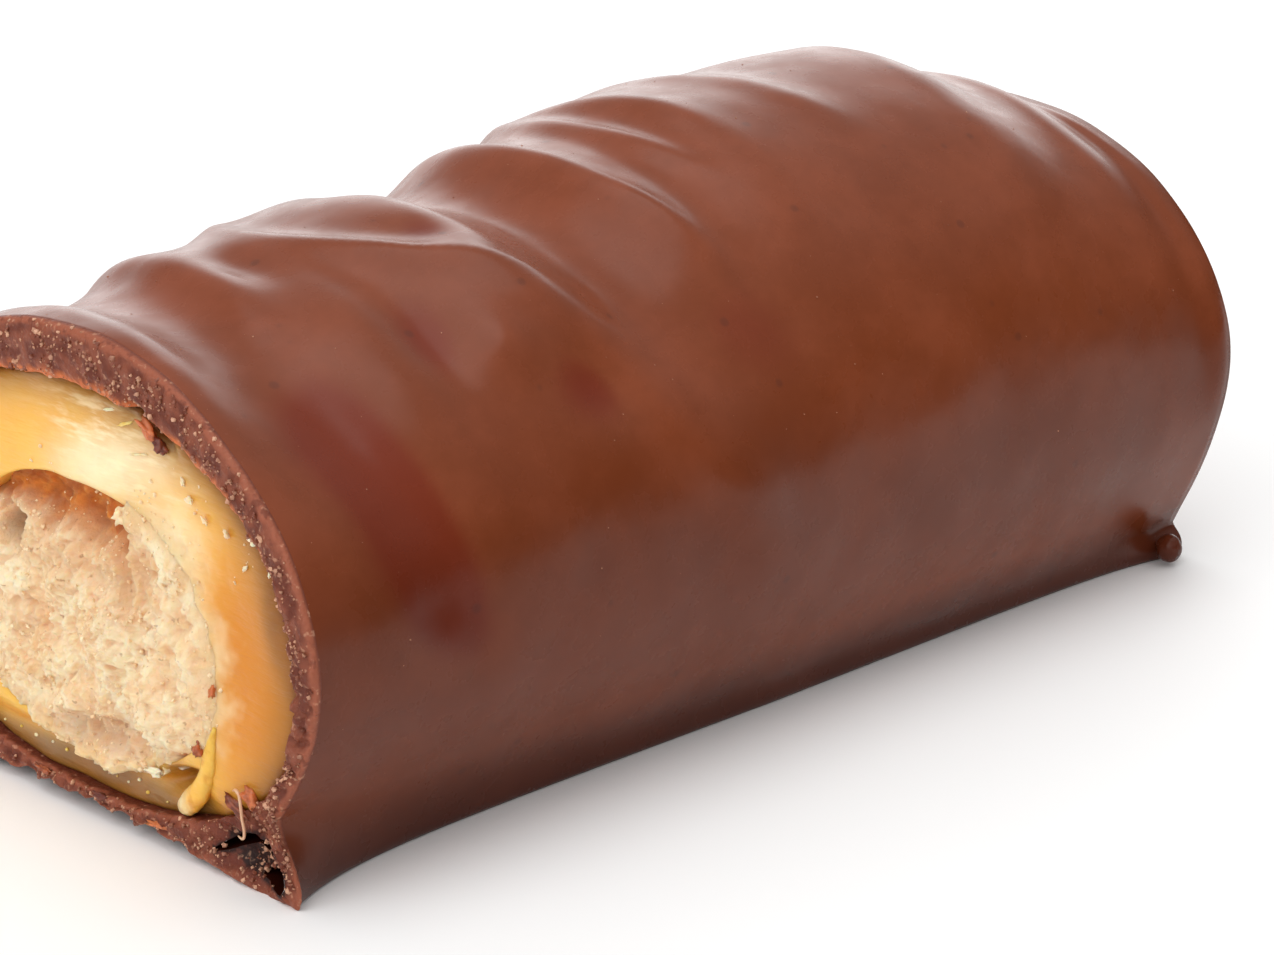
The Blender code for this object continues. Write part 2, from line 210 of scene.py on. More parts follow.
SWELLINGS = (
    Swelling(-13.2, 42.0, 0.42, 1.5, 1.6),
    Swelling(-15.2, 34.0, -0.35, 1.3, 2.3),
    Swelling(-9.8, 54.0, -0.38, 2.0, 1.9),
    Swelling(-11.4, 14.0, -0.28, 1.3, 1.2),
    Swelling(-17.9, 1.0, -0.30, 1.0, 2.0),
    Swelling(-9.5, -13.0, -0.28, 2.0, 1.6),
    Swelling(-2.5, 55.0, -0.22, 2.8, 3.0),
    Swelling(14.5, -8.0, 0.25, 4.5, 5.0),
    Swelling(16.0, -60.0, 0.30, 4.0, 4.0),
    Swelling(-12.0, -55.0, 0.28, 2.4, 2.6),
)

FOOT_POCKETS = (
    ((-7.6, 0.95), (-8.5, 1.6), (-9.3, 2.1), (-10.2, 2.3), (-10.9, 2.05), (-11.1, 1.7),
     (-10.3, 1.8), (-9.5, 1.5), (-8.5, 1.1)),
    ((-10.0, 0.68), (-10.8, 1.12), (-11.4, 1.2), (-11.52, 0.75), (-11.3, 0.3), (-10.7, 0.42)),
)
POCKET_DEPTH = 3.0
POCKET_TAPER = 0.35
POCKET_OVERSHOOT = 1.0
POCKET_SHIFT = 1.0
POCKET_SHARP = 55.0
POCKET_CORNER_STEPS = 6
POCKET_RINGS = 14
POCKET_MARGIN = 0.1
POCKET_DARK_FROM = 0.45
POCKET_SHADE = 0.2


def smooth_step(value, low, high):
    """0 below low, 1 above high, with an eased rise between them."""
    share = np.clip((value - low) / (high - low), 0.0, 1.0)
    return share * share * (3.0 - 2.0 * share)


def top_height(x):
    """Height of the bar's top line at x."""
    height = TOP_LINE[0][1] + 0.0 * x
    for (start_x, start), (stop_x, stop) in zip(TOP_LINE, TOP_LINE[1:]):
        height = height + (stop - start) * smooth_step(x, start_x, stop_x)
    return height


def outline(x, turn):
    """Across (positive at +turn) and up, without relief, on the coating's outside."""
    around = np.abs(turn)
    along = np.clip(2.0 * (x - CUT_X) / (END_X - CUT_X), 0.0, 1.0)
    pinch_z = PINCH_Z_AT_CUT + (PINCH_Z_AT_END - PINCH_Z_AT_CUT) * along
    at_cut = np.exp(-(x - CUT_X) / FOOT_FLARE_FADE_FROM_CUT)
    at_end = np.exp(-(END_X - x) / FOOT_FLARE_FADE_FROM_END)
    flare = FOOT_FLARE_AT_CUT * at_cut + FOOT_FLARE_AT_END * at_end
    tuck_in = FOOT_TUCK * (pinch_z - FOOT_HEIGHT) * (1.0 - at_cut) * (1.0 - at_end)
    toe = PINCH_HALF_WIDTH + flare - tuck_in

    angle = np.radians(around)
    upper = (HALF_WIDTH * np.sin(angle), WIDEST_Z + (top_height(x) - WIDEST_Z) * np.cos(angle))

    share = (around - SIDE_TURN) / (PINCH_TURN - SIDE_TURN)
    side_reach = HALF_WIDTH - PINCH_HALF_WIDTH
    side = (PINCH_HALF_WIDTH + side_reach * np.cos(share * np.pi / 2),
            WIDEST_Z + (pinch_z - WIDEST_Z) * share)

    share = 2.0 * (around - PINCH_TURN) / (FOOT_TURN - PINCH_TURN)
    down = np.clip(share, 0.0, 1.0)
    tuck = np.clip(share - 1.0, 0.0, 1.0) * np.pi / 2
    foot = (PINCH_HALF_WIDTH + flare * (1.0 - np.cos(np.pi * down)) / 2
            - tuck_in * np.sin(np.pi * down / 2) - FOOT_TOE * (1.0 - np.cos(tuck)),
            (pinch_z + (FOOT_HEIGHT - pinch_z) * down) * (1.0 - np.sin(tuck)))

    share = np.clip((around - FOOT_TURN) / (UNDER_TURN - FOOT_TURN), 0.0, 1.0)
    under_across = (toe - FOOT_TOE) * (1.0 - share)
    scallop = SCALLOP * np.sin(2.0 * np.pi * under_across / SCALLOP_PITCH)
    scallop = scallop * np.exp(-(x - CUT_X) / SCALLOP_FADE)
    rise = BELLY_RISE * (1.0 + scallop) * (1.0 - smooth_step(x, *BELLY_FADE_X))
    under = (under_across, rise * smooth_step(toe - under_across, FLAT_FOOT_WIDTH, BELLY_REACH))

    stretches = [around <= SIDE_TURN, around <= PINCH_TURN, around <= FOOT_TURN]
    across, up = [
        np.select(stretches, [upper[axis], side[axis], foot[axis]], under[axis])
        for axis in (0, 1)
    ]
    return np.copysign(across, turn), up


def relief(x, turn):
    """How far the coating stands out from its plain outline."""
    tens = turn / 10.0
    stand = np.zeros(np.broadcast(x, turn).shape)
    for ripple in RIPPLES:
        offset = x - (ripple.top_x + ripple.lean * tens + ripple.bend * tens * tens)
        width = np.where(offset < 0, ripple.near_width, ripple.far_width)
        begun = smooth_step(turn, ripple.first_turn - RIPPLE_EASE, ripple.first_turn + RIPPLE_EASE)
        ended = smooth_step(turn, ripple.last_turn - RIPPLE_EASE, ripple.last_turn + RIPPLE_EASE)
        rounded = np.sqrt(offset * offset + ripple.crest ** 2) - ripple.crest
        stand += ripple.height * begun * (1.0 - ended) * np.exp(-(rounded / width) ** 1.5)
    for swelling in SWELLINGS:
        along = (x - swelling.x) / swelling.radius_along
        across = np.radians(turn - swelling.turn) * HALF_WIDTH / swelling.radius_across
        stand += swelling.height * np.exp(-along * along - across * across)
    return stand * (1.0 - smooth_step(np.abs(turn), SIDE_TURN, PINCH_TURN))


def uneven(points, size, seed, octaves=2):
    """Fractal noise of about -1 to 1 at each point, with features of the given size."""
    flat = np.asarray(points, float).reshape(-1, 3) / size
    values = [noise.fractal(Vector((a, b, c + seed)), 1.0, 2.0, octaves) for a, b, c in flat]
    return np.array(values).reshape(np.asarray(points).shape[:-1])


def smooth_curve(corners, steps, closed):
    """A smooth curve through corners, with so many steps from one to the next."""
    knots = np.array(corners)
    count = len(knots)
    curve = []
    for index in range(count if closed else count - 1):
        near = np.arange(index - 1, index + 3)
        a, b, c, d = knots[near % count if closed else np.clip(near, 0, count - 1)]
        for step in range(steps):
            t = step / steps
            curve.append(0.5 * (2 * b + (c - a) * t + (2 * a - 5 * b + 4 * c - d) * t * t
                                + (3 * b - a - 3 * c + d) * t ** 3))
    return np.array(curve if closed else curve + [knots[-1]])


def coat_outside(x, turn):
    """Points of the coating's outside, and how far each stands out from the plain outline."""
    x = x + 0.0 * turn
    across, up = outline(x, turn)
    before = outline(x, turn - 0.5)
    after = outline(x, turn + 0.5)
    normal_across = before[1] - after[1]
    normal_up = after[0] - before[0]
    length = np.maximum(np.hypot(normal_across, normal_up), 1e-9)
    points = np.stack([x, -across, up], -1)
    soft = WOBBLE * uneven(points, WOBBLE_SIZE, 3.0)
    stand = relief(x, turn) + soft * (1.0 - smooth_step(np.abs(turn), *WOBBLE_FADE))
    points[..., 1] -= normal_across / length * stand
    points[..., 2] += normal_up / length * stand
    return points, stand


def rounded(turn, half_width, widest_z, top_z, bottom_z, power_above, power_below):
    """Across and up on a closed outline made of two half superellipses."""
    sine, cosine = np.sin(np.radians(turn)), np.cos(np.radians(turn))
    power = np.where(cosine >= 0, power_above, power_below)
    reach = np.where(cosine >= 0, top_z - widest_z, widest_z - bottom_z)
    across = half_width * np.sign(sine) * np.abs(sine) ** (2.0 / power)
    return across, widest_z + reach * np.sign(cosine) * np.abs(cosine) ** (2.0 / power)


def coat_inside(x, turn, gap=0.0):
    """Points on the coating's inside, or gap further in."""
    across, up = rounded(turn, HALF_WIDTH - COAT_AT_SIDE - gap, WIDEST_Z,
                         top_height(x) - COAT_ON_TOP - gap, COAT_UNDER + gap,
                         INNER_POWER_ABOVE, INNER_POWER_BELOW)
    return np.stack([x + 0.0 * turn, -across, up], -1)


def centre_outside(x, turn, gap=0.0):
    """Points on the crumb centre's outside, or gap further out."""
    across, up = rounded(turn, CENTRE_HALF_WIDTH + gap, CENTRE_WIDEST_Z,
                         top_height(x) * CENTRE_TOP_SHARE + gap, CENTRE_BOTTOM_Z - gap,
                         CENTRE_POWER, CENTRE_POWER)
    return np.stack([x + 0.0 * turn, -across, up], -1)


def patch_mask(points, patch):
    """Strength of a patch at each point, fading out from its middle."""
    tilt = math.radians(patch.tilt)
    across = points[..., 1] - patch.across
    up = points[..., 2] - patch.up
    wide = (across * math.cos(tilt) + up * math.sin(tilt)) / patch.half_width
    high = (up * math.cos(tilt) - across * math.sin(tilt)) / patch.half_height
    return patch.strength * np.exp(-(wide * wide + high * high) ** 1.5)


def coat_turns(steps):
    """Angles round the coating, with each stretch's step count times steps."""
    stretches = ((0.0, SIDE_TURN, UPPER_STEPS), (SIDE_TURN, PINCH_TURN, SIDE_STEPS),
                 (PINCH_TURN, FOOT_TURN, FOOT_STEPS), (FOOT_TURN, UNDER_TURN, UNDER_STEPS))
    half = [0.0]
    for start, stop, count in stretches:
        half += list(np.linspace(start, stop, count * steps + 1)[1:])
    return np.array([-turn for turn in reversed(half[1:-1])] + half)


class Loft:
    """A mesh grown ring by ring; a ring may have a third or three times the points of the last."""

    def __init__(self):
        self.points = []
        self.faces = []
        self.tags = []
        self.last = None

    def add_points(self, points):
        """Adds points and returns their numbers."""
        first = len(self.points)
        self.points.extend(map(tuple, points))
        return list(range(first, first + len(points)))

    def ring(self, points, tag=0):
        """Adds a ring and joins it to the last one."""
        ring = self.add_points(points)
        if self.last is not None:
            self.join(self.last, ring, tag)
        self.last = ring

    def join(self, last, ring, tag):
        """Faces between two rings, through triangles where their counts differ."""
        many, few, turned = (last, ring, False) if len(last) >= len(ring) else (ring, last, True)
        ratio = len(many) // len(few)
        for index in range(len(few)):
            following = (index + 1) % len(few)
            fine = [many[(index * ratio + step) % len(many)] for step in range(ratio + 1)]
            middle = ratio // 2
            made = []
            for step in range(ratio):
                if step < middle:
                    made.append((fine[step], few[index], fine[step + 1]))
                elif step == middle:
                    made.append((fine[step], few[index], few[following], fine[step + 1]))
                else:
                    made.append((fine[step], few[following], fine[step + 1]))
            self.faces += [face[::-1] for face in made] if turned else made
            self.tags += [tag] * len(made)

    def cap(self, point, tag=0):
        """Closes the last ring at a middle point."""
        tip = self.add_points([point])[0]
        ring = self.last
        for index in range(len(ring)):
            self.faces.append((ring[index], tip, ring[(index + 1) % len(ring)]))
            self.tags.append(tag)

    def begin(self, point, points, tag=0):
        """A middle point and the first ring round it."""
        tip = self.add_points([point])[0]
        ring = self.add_points(points)
        for index in range(len(ring)):
            self.faces.append((tip, ring[index], ring[(index + 1) % len(ring)]))
            self.tags.append(tag)
        self.last = ring

    def tube(self, start, rings, stop, tag=0):
        """A closed tube through rings, from one middle point to another."""
        self.begin(start, rings[0], tag)
        for ring in rings[1:]:
            self.ring(ring, tag)
        self.cap(stop, tag)

    def mesh(self, name):
        """The finished mesh in metres, smooth, with faces pointing out and tags as materials."""
        data = bpy.data.meshes.new(name)
        data.from_pydata([(x * MM, y * MM, z * MM) for x, y, z in self.points], [], self.faces)
        data.polygons.foreach_set("material_index", self.tags)
        turn_outwards(data)
        data.shade_smooth()
        return data


def turn_outwards(data):
    """Makes a closed mesh's faces point out."""
    mesh = bmesh.new()
    mesh.from_mesh(data)
    bmesh.ops.recalc_face_normals(mesh, faces=mesh.faces)
    mesh.to_mesh(data)
    mesh.free()
    data.update()


def set_colour(data, name, colours):
    """Stores a colour for each vertex."""
    attribute = data.color_attributes.new(name, "FLOAT_COLOR", "POINT")
    filled = np.ones((len(colours), 4))
    filled[:, :3] = colours
    attribute.data.foreach_set("color", filled.ravel())


def set_value(data, name, values):
    """Stores a number for each vertex."""
    attribute = data.attributes.new(name, "FLOAT", "POINT")
    attribute.data.foreach_set("value", np.asarray(values, float).ravel())


def vertex_places(data):
    """The mesh's vertices in millimetres."""
    flat = np.empty(len(data.vertices) * 3)
    data.vertices.foreach_get("co", flat)
    return flat.reshape(-1, 3) / MM


def add_object(name, data):
    """A new object in the scene."""
    made = bpy.data.objects.new(name, data)
    bpy.context.collection.objects.link(made)
    return made


def keep_result(piece):
    """Turns a piece's modifiers into its plain mesh."""
    graph = bpy.context.evaluated_depsgraph_get()
    graph.update()
    data = bpy.data.meshes.new_from_object(piece.evaluated_get(graph))
    piece.modifiers.clear()
    old = piece.data
    piece.data = data
    bpy.data.meshes.remove(old)


def place_piece(name, data, materials, slot_name, *nodes):
    """Adds a finished piece, at the origin, and ties it to the frame."""
    piece = add_object(name, data)
    for material in materials:
        data.materials.append(material)
    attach(piece, BODY)
    if nodes:
        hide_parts(*nodes)


def covered(paint, mask, tone):
    """Paint with a tone over it, as thickly as the mask says for each point."""
    mask = mask[:, None]
    return paint * (1.0 - mask) + np.array(tone) * mask


def patched(points, paint, layers):
    """Paint with soft patches over it, in order."""
    for patch, tone in layers:
        paint = covered(paint, patch_mask(points, patch), tone)
    return paint


def wall_rings(face, edge, depth, count):
    """Rings from a cut face's last ring along its inner edge to a depth behind the cut."""
    front = face[:, 0]
    for step in range(1, count + 1):
        ring = edge.copy()
        ring[:, 0] = front + (CUT_X + depth - front) * step / count
        yield ring


# Material helpers


class Finish:
    """A material being wired: short calls for the nodes that these finishes share."""

    def __init__(self, name):
        self.material = bpy.data.materials.new(name)
        self.material.use_nodes = True
        self.nodes = self.material.node_tree.nodes
        self.links = self.material.node_tree.links
        self.shader = self.nodes["Principled BSDF"]

    def node(self, kind, **settings):
        """Adds a node; settings are its properties."""
        made = self.nodes.new(kind)
        for key, value in settings.items():
            setattr(made, key, value)
        return made

    def feed(self, socket, value):
        """Gives an input its value, by a link where that is a socket."""
        if isinstance(value, bpy.types.NodeSocket):
            self.links.new(value, socket)
        else:
            socket.default_value = value

    def fill(self, node, **values):
        """Sets a node's inputs by name."""
        for key, value in values.items():
            self.feed(node.inputs[key.replace("_", " ")], value)
        return node

    def attribute(self, name):
        """Reads a vertex attribute."""
        return self.node("ShaderNodeAttribute", attribute_name=name)

    def noise(self, scale, detail=3.0, roughness=0.5, stretch=(1.0, 1.0, 1.0)):
        """Noise in the piece's own space; scale is features per metre."""
        place = self.node("ShaderNodeTexCoord").outputs["Object"]
        mapping = self.node("ShaderNodeMapping")
        self.fill(mapping, Vector=place, Scale=stretch)
        texture = self.node("ShaderNodeTexNoise")
        self.fill(texture, Vector=mapping.outputs["Vector"], Scale=scale, Detail=detail,
                  Roughness=roughness)
        return texture.outputs["Fac"]

    def cells(self, scale):
        """Distance to the nearest of scattered points; scale is points per metre."""
        place = self.node("ShaderNodeTexCoord").outputs["Object"]
        texture = self.node("ShaderNodeTexVoronoi")
        self.fill(texture, Vector=place, Scale=scale)
        return texture.outputs["Distance"]

    def ramp(self, value, low, high, from_value=0.0, to_value=1.0):
        """Maps low..high of a value to from..to, eased and clamped."""
        mapped = self.node("ShaderNodeMapRange", interpolation_type="SMOOTHSTEP")
        self.fill(mapped, Value=value, From_Min=low, From_Max=high,
                  To_Min=from_value, To_Max=to_value)
        return mapped.outputs["Result"]

    def maths(self, operation, first, second=0.0):
        """One sum on two values."""
        made = self.node("ShaderNodeMath", operation=operation)
        for socket, value in zip(made.inputs, (first, second)):
            self.feed(socket, value)
        return made.outputs["Value"]

    def mix(self, share, first, second):
        """Mixes two colours."""
        made = self.node("ShaderNodeMix", data_type="RGBA")
        self.feed(made.inputs[0], share)
        for index, tone in ((6, first), (7, second)):
            linked = isinstance(tone, bpy.types.NodeSocket)
            self.feed(made.inputs[index], tone if linked else (*tone, 1.0))
        return made.outputs[2]

    def bump(self, height, distance, strength=1.0, below=None):
        """A bump of a real height in millimetres; below is a bump under it."""
        made = self.node("ShaderNodeBump")
        self.fill(made, Height=height, Distance=distance * MM, Strength=strength)
        if below is not None:
            self.links.new(below, made.inputs["Normal"])
        return made.outputs["Normal"]


def chocolate_finish(look):
    """Smooth semi-gloss milk chocolate with faint mottling, specks and fine unevenness, with
    painted shade in its hollows and towards its foot.
    """
    finish = Finish("milk_chocolate_coat")
    mottle = finish.noise(170.0, 6.0, 0.68)
    # Painted shade: where the relief dips into a hollow, the coating is mixed towards a dark red,
    # as shade with light bounced between the walls.
    hollow = finish.ramp(finish.attribute("hollow").outputs["Fac"], 0.2, 1.1, 0.0, 0.8)
    colour = finish.mix(finish.ramp(mottle, 0.35, 0.7), look.coat_colour, look.coat_pale)
    colour = finish.mix(hollow, colour, look.coat_hollow_shade)
    dots = finish.ramp(finish.cells(420.0), 0.05, 0.11, 0.35, 0.0)
    colour = finish.mix(dots, colour, look.coat_fleck)
    # Painted shade: by height, the coating is darkened towards the foot and in a band across the
    # lower side.
    place = finish.node("ShaderNodeTexCoord").outputs["Object"]
    height = finish.fill(finish.node("ShaderNodeSeparateXYZ"), Vector=place).outputs["Z"]
    foot = finish.ramp(height, 0.0, 0.3 * look.side_shade_height, 0.7, 0.0)
    side = finish.ramp(height, 0.6 * look.side_shade_height, look.side_shade_height, 0.35, 0.0)
    side = finish.maths("MULTIPLY", side, finish.ramp(height, 0.0, 0.5 * look.side_shade_height))
    colour = finish.mix(finish.maths("MAXIMUM", foot, side), colour, look.coat_foot_shade)
    grain = finish.noise(1500.0, 3.0, 0.6)
    waves = finish.noise(260.0, 2.0, 0.5)
    normal = finish.bump(waves, 0.1, 0.6)
    normal = finish.bump(grain, 0.012, 0.5, normal)
    rough = finish.ramp(finish.noise(500.0, 4.0, 0.6), 0.3, 0.7, look.coat_roughness - 0.05,
                        look.coat_roughness + 0.06)
    finish.fill(finish.shader, Base_Color=colour, Roughness=rough, Normal=normal, IOR=1.5,
                Specular_IOR_Level=0.2, Coat_Weight=0.06, Coat_Roughness=0.2)
    return finish.material


def cut_chocolate_finish(look):
    """Chocolate where it is cut: duller, darker, granular, with pale grains."""
    finish = Finish("cut_milk_chocolate")
    colour = finish.attribute("paint").outputs["Color"]
    pale = finish.ramp(finish.noise(3800.0, 2.0, 0.5), 0.6, 0.72, 0.0, 0.4)
    colour = finish.mix(pale, colour, look.rim_pale)
    dark = finish.ramp(finish.noise(2300.0, 2.0, 0.5), 0.58, 0.7, 0.0, 0.6)
    colour = finish.mix(dark, colour, look.rim_dark)
    grit = finish.noise(5200.0, 4.0, 0.65)
    lumps = finish.cells(5200.0)
    normal = finish.bump(grit, 0.06, 0.8)
    normal = finish.bump(lumps, 0.05, 0.6, normal)
    finish.fill(finish.shader, Base_Color=colour, Roughness=0.5, Normal=normal, IOR=1.5,
                Specular_IOR_Level=0.25, Subsurface_Weight=0.1, Subsurface_Radius=(1.0, 0.35, 0.2),
                Subsurface_Scale=0.0005)
    return finish.material


def caramel_finish(look):
    """Soft caramel, light scattering through it, painted from amber to cream."""
    finish = Finish("soft_caramel")
    paint = finish.attribute("paint").outputs["Color"]
    cloud = finish.ramp(finish.noise(450.0, 4.0, 0.6), 0.3, 0.75)
    colour = finish.mix(finish.maths("MULTIPLY", cloud, 0.2), paint, look.caramel_amber)
    pulled = finish.attribute("pulled").outputs["Fac"]
    threads = finish.noise(2600.0, 3.0, 0.6, (1.0, 0.18, 1.0))
    lines = finish.ramp(threads, 0.45, 0.7)
    colour = finish.mix(finish.maths("MULTIPLY", lines, finish.maths("MULTIPLY", pulled, 0.85)),
                        colour, look.caramel_cream)
    normal = finish.bump(finish.noise(700.0, 3.0, 0.5), 0.08, 0.5)
    normal = finish.bump(threads, 0.12, 0.7, normal)
    finish.fill(finish.shader, Base_Color=colour, Roughness=look.caramel_roughness, Normal=normal,
                IOR=1.48, Specular_IOR_Level=0.35, Subsurface_Weight=0.5,
                Subsurface_Radius=(1.0, 0.65, 0.4), Subsurface_Scale=0.0012,
                Coat_Weight=0.1, Coat_Roughness=0.15)
    return finish.material


def crumb_finish(look):
    """Dry pale crumb, painted from cream to brown, with flecks and pores."""
    finish = Finish("pale_crumb")
    paint = finish.attribute("paint").outputs["Color"]
    cloud = finish.ramp(finish.noise(700.0, 5.0, 0.65), 0.35, 0.7)
    colour = finish.mix(finish.maths("MULTIPLY", cloud, 0.2), paint, look.crumb_tan)
    fleck = finish.ramp(finish.noise(2600.0, 2.0, 0.5), 0.66, 0.74, 0.0, 0.5)
    colour = finish.mix(fleck, colour, look.crumb_fleck_and_shade)
    grit = finish.noise(2800.0, 5.0, 0.7)
    normal = finish.bump(grit, 0.16, 0.9)
    finish.fill(finish.shader, Base_Color=colour, Roughness=0.75, Normal=normal, IOR=1.45,
                Subsurface_Weight=0.5, Subsurface_Radius=(1.0, 0.6, 0.35),
                Subsurface_Scale=0.0009)
    return finish.material


def grain_finish(name, pale, dark, roughness, scatter=0.0):
    """Small lumps, each with its own shade between two tones, slightly mottled."""
    finish = Finish(name)
    own = finish.attribute("shade").outputs["Fac"]
    mottle = finish.ramp(finish.noise(2600.0, 3.0, 0.6), 0.3, 0.7, -0.2, 0.2)
    share = finish.ramp(finish.maths("ADD", own, mottle), 0.0, 1.0)
    finish.fill(finish.shader, Base_Color=finish.mix(share, dark, pale), Roughness=roughness,
                Subsurface_Weight=scatter, Subsurface_Radius=(1.0, 0.5, 0.25),
                Subsurface_Scale=0.0006)
    return finish.material


# Properties


def colour_property(name, description, colour):
    """A colour that the user can change."""
    return FloatVectorProperty(name=name, description=description, subtype="COLOR", size=3,
                               min=0.0, max=1.0, default=colour)


def size_property(name, description, default):
    """A small size in metres that the user can change."""
    return FloatProperty(name=name, description=description, default=default, min=0.0,
                         subtype="DISTANCE", unit="LENGTH")


def amount_property(name, description, default, **limits):
    """A plain number that the user can change."""
    return FloatProperty(name=name, description=description, default=default, min=0.0, **limits)


class ChocolateLook(bpy.types.PropertyGroup):
    """Colours and gloss of the coating."""

    coat_colour: colour_property("Coat", "Main colour of the coating", linear(118, 54, 24))
    coat_pale: colour_property("Pale coat", "Lighter mottling", linear(132, 64, 35))
    # Painted shade: the dark red mixed into the coating's hollows.
    coat_hollow_shade: colour_property("Deep coat", "Colour in the hollows", linear(112, 34, 8))
    coat_fleck: colour_property("Fleck", "Colour of the flecks", linear(70, 34, 24))
    # Painted shade towards the foot and on the lower side.
    coat_foot_shade: colour_property("Foot", "Colour towards the foot", linear(48, 18, 16))
    side_shade_height: size_property("Side shade", "Height of the darker lower side", 0.015)
    coat_roughness: amount_property("Coat roughness", "Roughness of the coating", 0.27, max=1.0)
    rim_colour: colour_property("Cut", "Main colour of the cut rim", linear(134, 72, 51))
    rim_dark: colour_property("Dark cut", "Darker blotches of the cut rim", linear(104, 48, 32))
    rim_pale: colour_property("Pale grain", "Pale grains in the cut rim", linear(216, 164, 132))
    # Painted highlight on the rim's rounded outer edge and on its bottom ridge.
    rim_edge_highlight: colour_property("Edge highlight", "Outer edge of the cut", linear(154, 86, 62))
    # Painted highlight on the top inner lip of the cut; the flakes also use it as their own pale
    # tone.
    rim_bright: colour_property("Inner edge", "Inner edge of the cut", linear(206, 112, 62))
    rim_red: colour_property("Sunk cut", "Sunk parts of the cut", linear(96, 38, 24))


class CaramelLook(bpy.types.PropertyGroup):
    """Colours and gloss of the caramel."""

    caramel_amber: colour_property("Amber", "Deep amber caramel", linear(214, 132, 12))
    caramel_gold: colour_property("Gold", "Golden caramel", linear(250, 190, 84))
    caramel_cream: colour_property("Cream", "Pulled pale caramel", linear(255, 236, 192))
    caramel_smear: colour_property("Smear", "Caramel smeared with crumb", linear(240, 204, 152))
    caramel_olive: colour_property("Olive", "Thin caramel by the chocolate", linear(122, 74, 20))
    # Painted shade where the caramel meets the chocolate and in the gap under the rim's lip.
    caramel_junction_shade: colour_property("Junction shade", "Caramel against the chocolate", linear(92, 34, 12))
    caramel_under: colour_property("Under", "Caramel below the centre", linear(140, 106, 68))
    caramel_roughness: amount_property("Caramel roughness", "Roughness of the cut caramel", 0.3,
                                       max=1.0)


class CrumbLook(bpy.types.PropertyGroup):
    """Colours of the crumb centre."""

    crumb_cream: colour_property("Cream", "Creamy crumb", linear(255, 234, 196))
    crumb_colour: colour_property("Crumb", "Main crumb colour", linear(248, 214, 170))
    crumb_tan: colour_property("Tan", "Toasted crumb", linear(222, 174, 128))
    crumb_grey: colour_property("Grey", "Shaded crumb", linear(206, 164, 132))
    # Brown stains, and painted shade in the sunk top strip and in the gap at the lower right.
    crumb_stain_and_shade: colour_property("Brown", "Stained crumb", linear(212, 124, 44))
    # Painted shade with light bounced from the caramel, in the sunk strip under the top of the
    # centre.
    crumb_recess_shade: colour_property("Recess shade", "Crumb in painted shade, with caramel showing", linear(182, 98, 36))
    crumb_smear: colour_property("Smear", "Crumb mixed with caramel", linear(242, 202, 148))
    # Brown flecks of the crumb, and painted shade in a deep hole of the cut face.
    crumb_fleck_and_shade: colour_property("Fleck", "Brown flecks", linear(150, 96, 58))


class ScatterSizes(bpy.types.PropertyGroup):
    """Sizes and counts of what is scattered on the bar."""

    granule: size_property("Granule", "Size of a grain in the cut rim", 0.00016)
    granule_density: amount_property("Granule density", "Grains per square metre", 2.0e7)
    crumb: size_property("Crumb", "Size of a crumb on the caramel", 0.00014)
    crumb_density: amount_property("Crumb density", "Crumbs per square metre", 1.1e7)
    speck: size_property("Speck", "Size of a dust speck on the coating", 0.00005)
    speck_density: amount_property("Speck density", "Specks per square metre", 1.2e5)
    seed: IntProperty(name="Seed", description="Seed of the scatter", default=5, min=0)


class StageLook(bpy.types.PropertyGroup):
    """Floor and sky."""

    floor_colour: colour_property("Floor", "Colour of the floor", (0.97, 0.97, 0.965))
    low: amount_property("Low sky", "Light from every side", 0.1)
    sky: amount_property("Sky", "Light that grows with height", 0.72)
    top: amount_property("Overhead panel", "Light from straight above", 1.7)
    back: amount_property("Back panel", "Light from low behind the bar", 1.9)
    cut: amount_property("Cut panel", "Light from before the cut end", 1.4)


# Coating

RIM_RAGGED = 0.14
RIM_START = 0.42
RIM_SUNK = (
    Patch(-4.4, 16.45, 1.1, 0.22, 26.0, 0.5),
    Patch(-9.6, 1.25, 1.7, 0.75, 10.0, 0.75),
    Patch(-9.6, 2.9, 1.2, 0.22, 28.0, 0.5),
)
RIM_SHELF = Patch(-9.4, 1.2, 2.4, 1.0, 18.0, 1.0)


def coat_rim_depth(points, share):
    """How far the cut rim lies behind the cut plane, from its outer edge to its inner one."""
    grit = 0.12 * uneven(points, 0.55, 21.0, 3)
    wave = 0.16 * (0.5 + 0.5 * uneven(points, 2.4, 33.0))
    coarse = 0.24 * uneven(points, 0.42, 23.0, 2) * (1.0 - smooth_step(points[:, 2], 8.0, 12.0))
    round_off = 0.24 * np.exp(-share / 0.07) + 0.14 * np.exp(-(1.0 - share) / 0.08)
    calm = 0.3 + 0.7 * smooth_step(share, 0.0, 0.15)
    depth = np.maximum(wave + grit + coarse, 0.0) * calm + round_off
    for sunk in RIM_SUNK:
        depth = depth + patch_mask(points, sunk)
    return depth


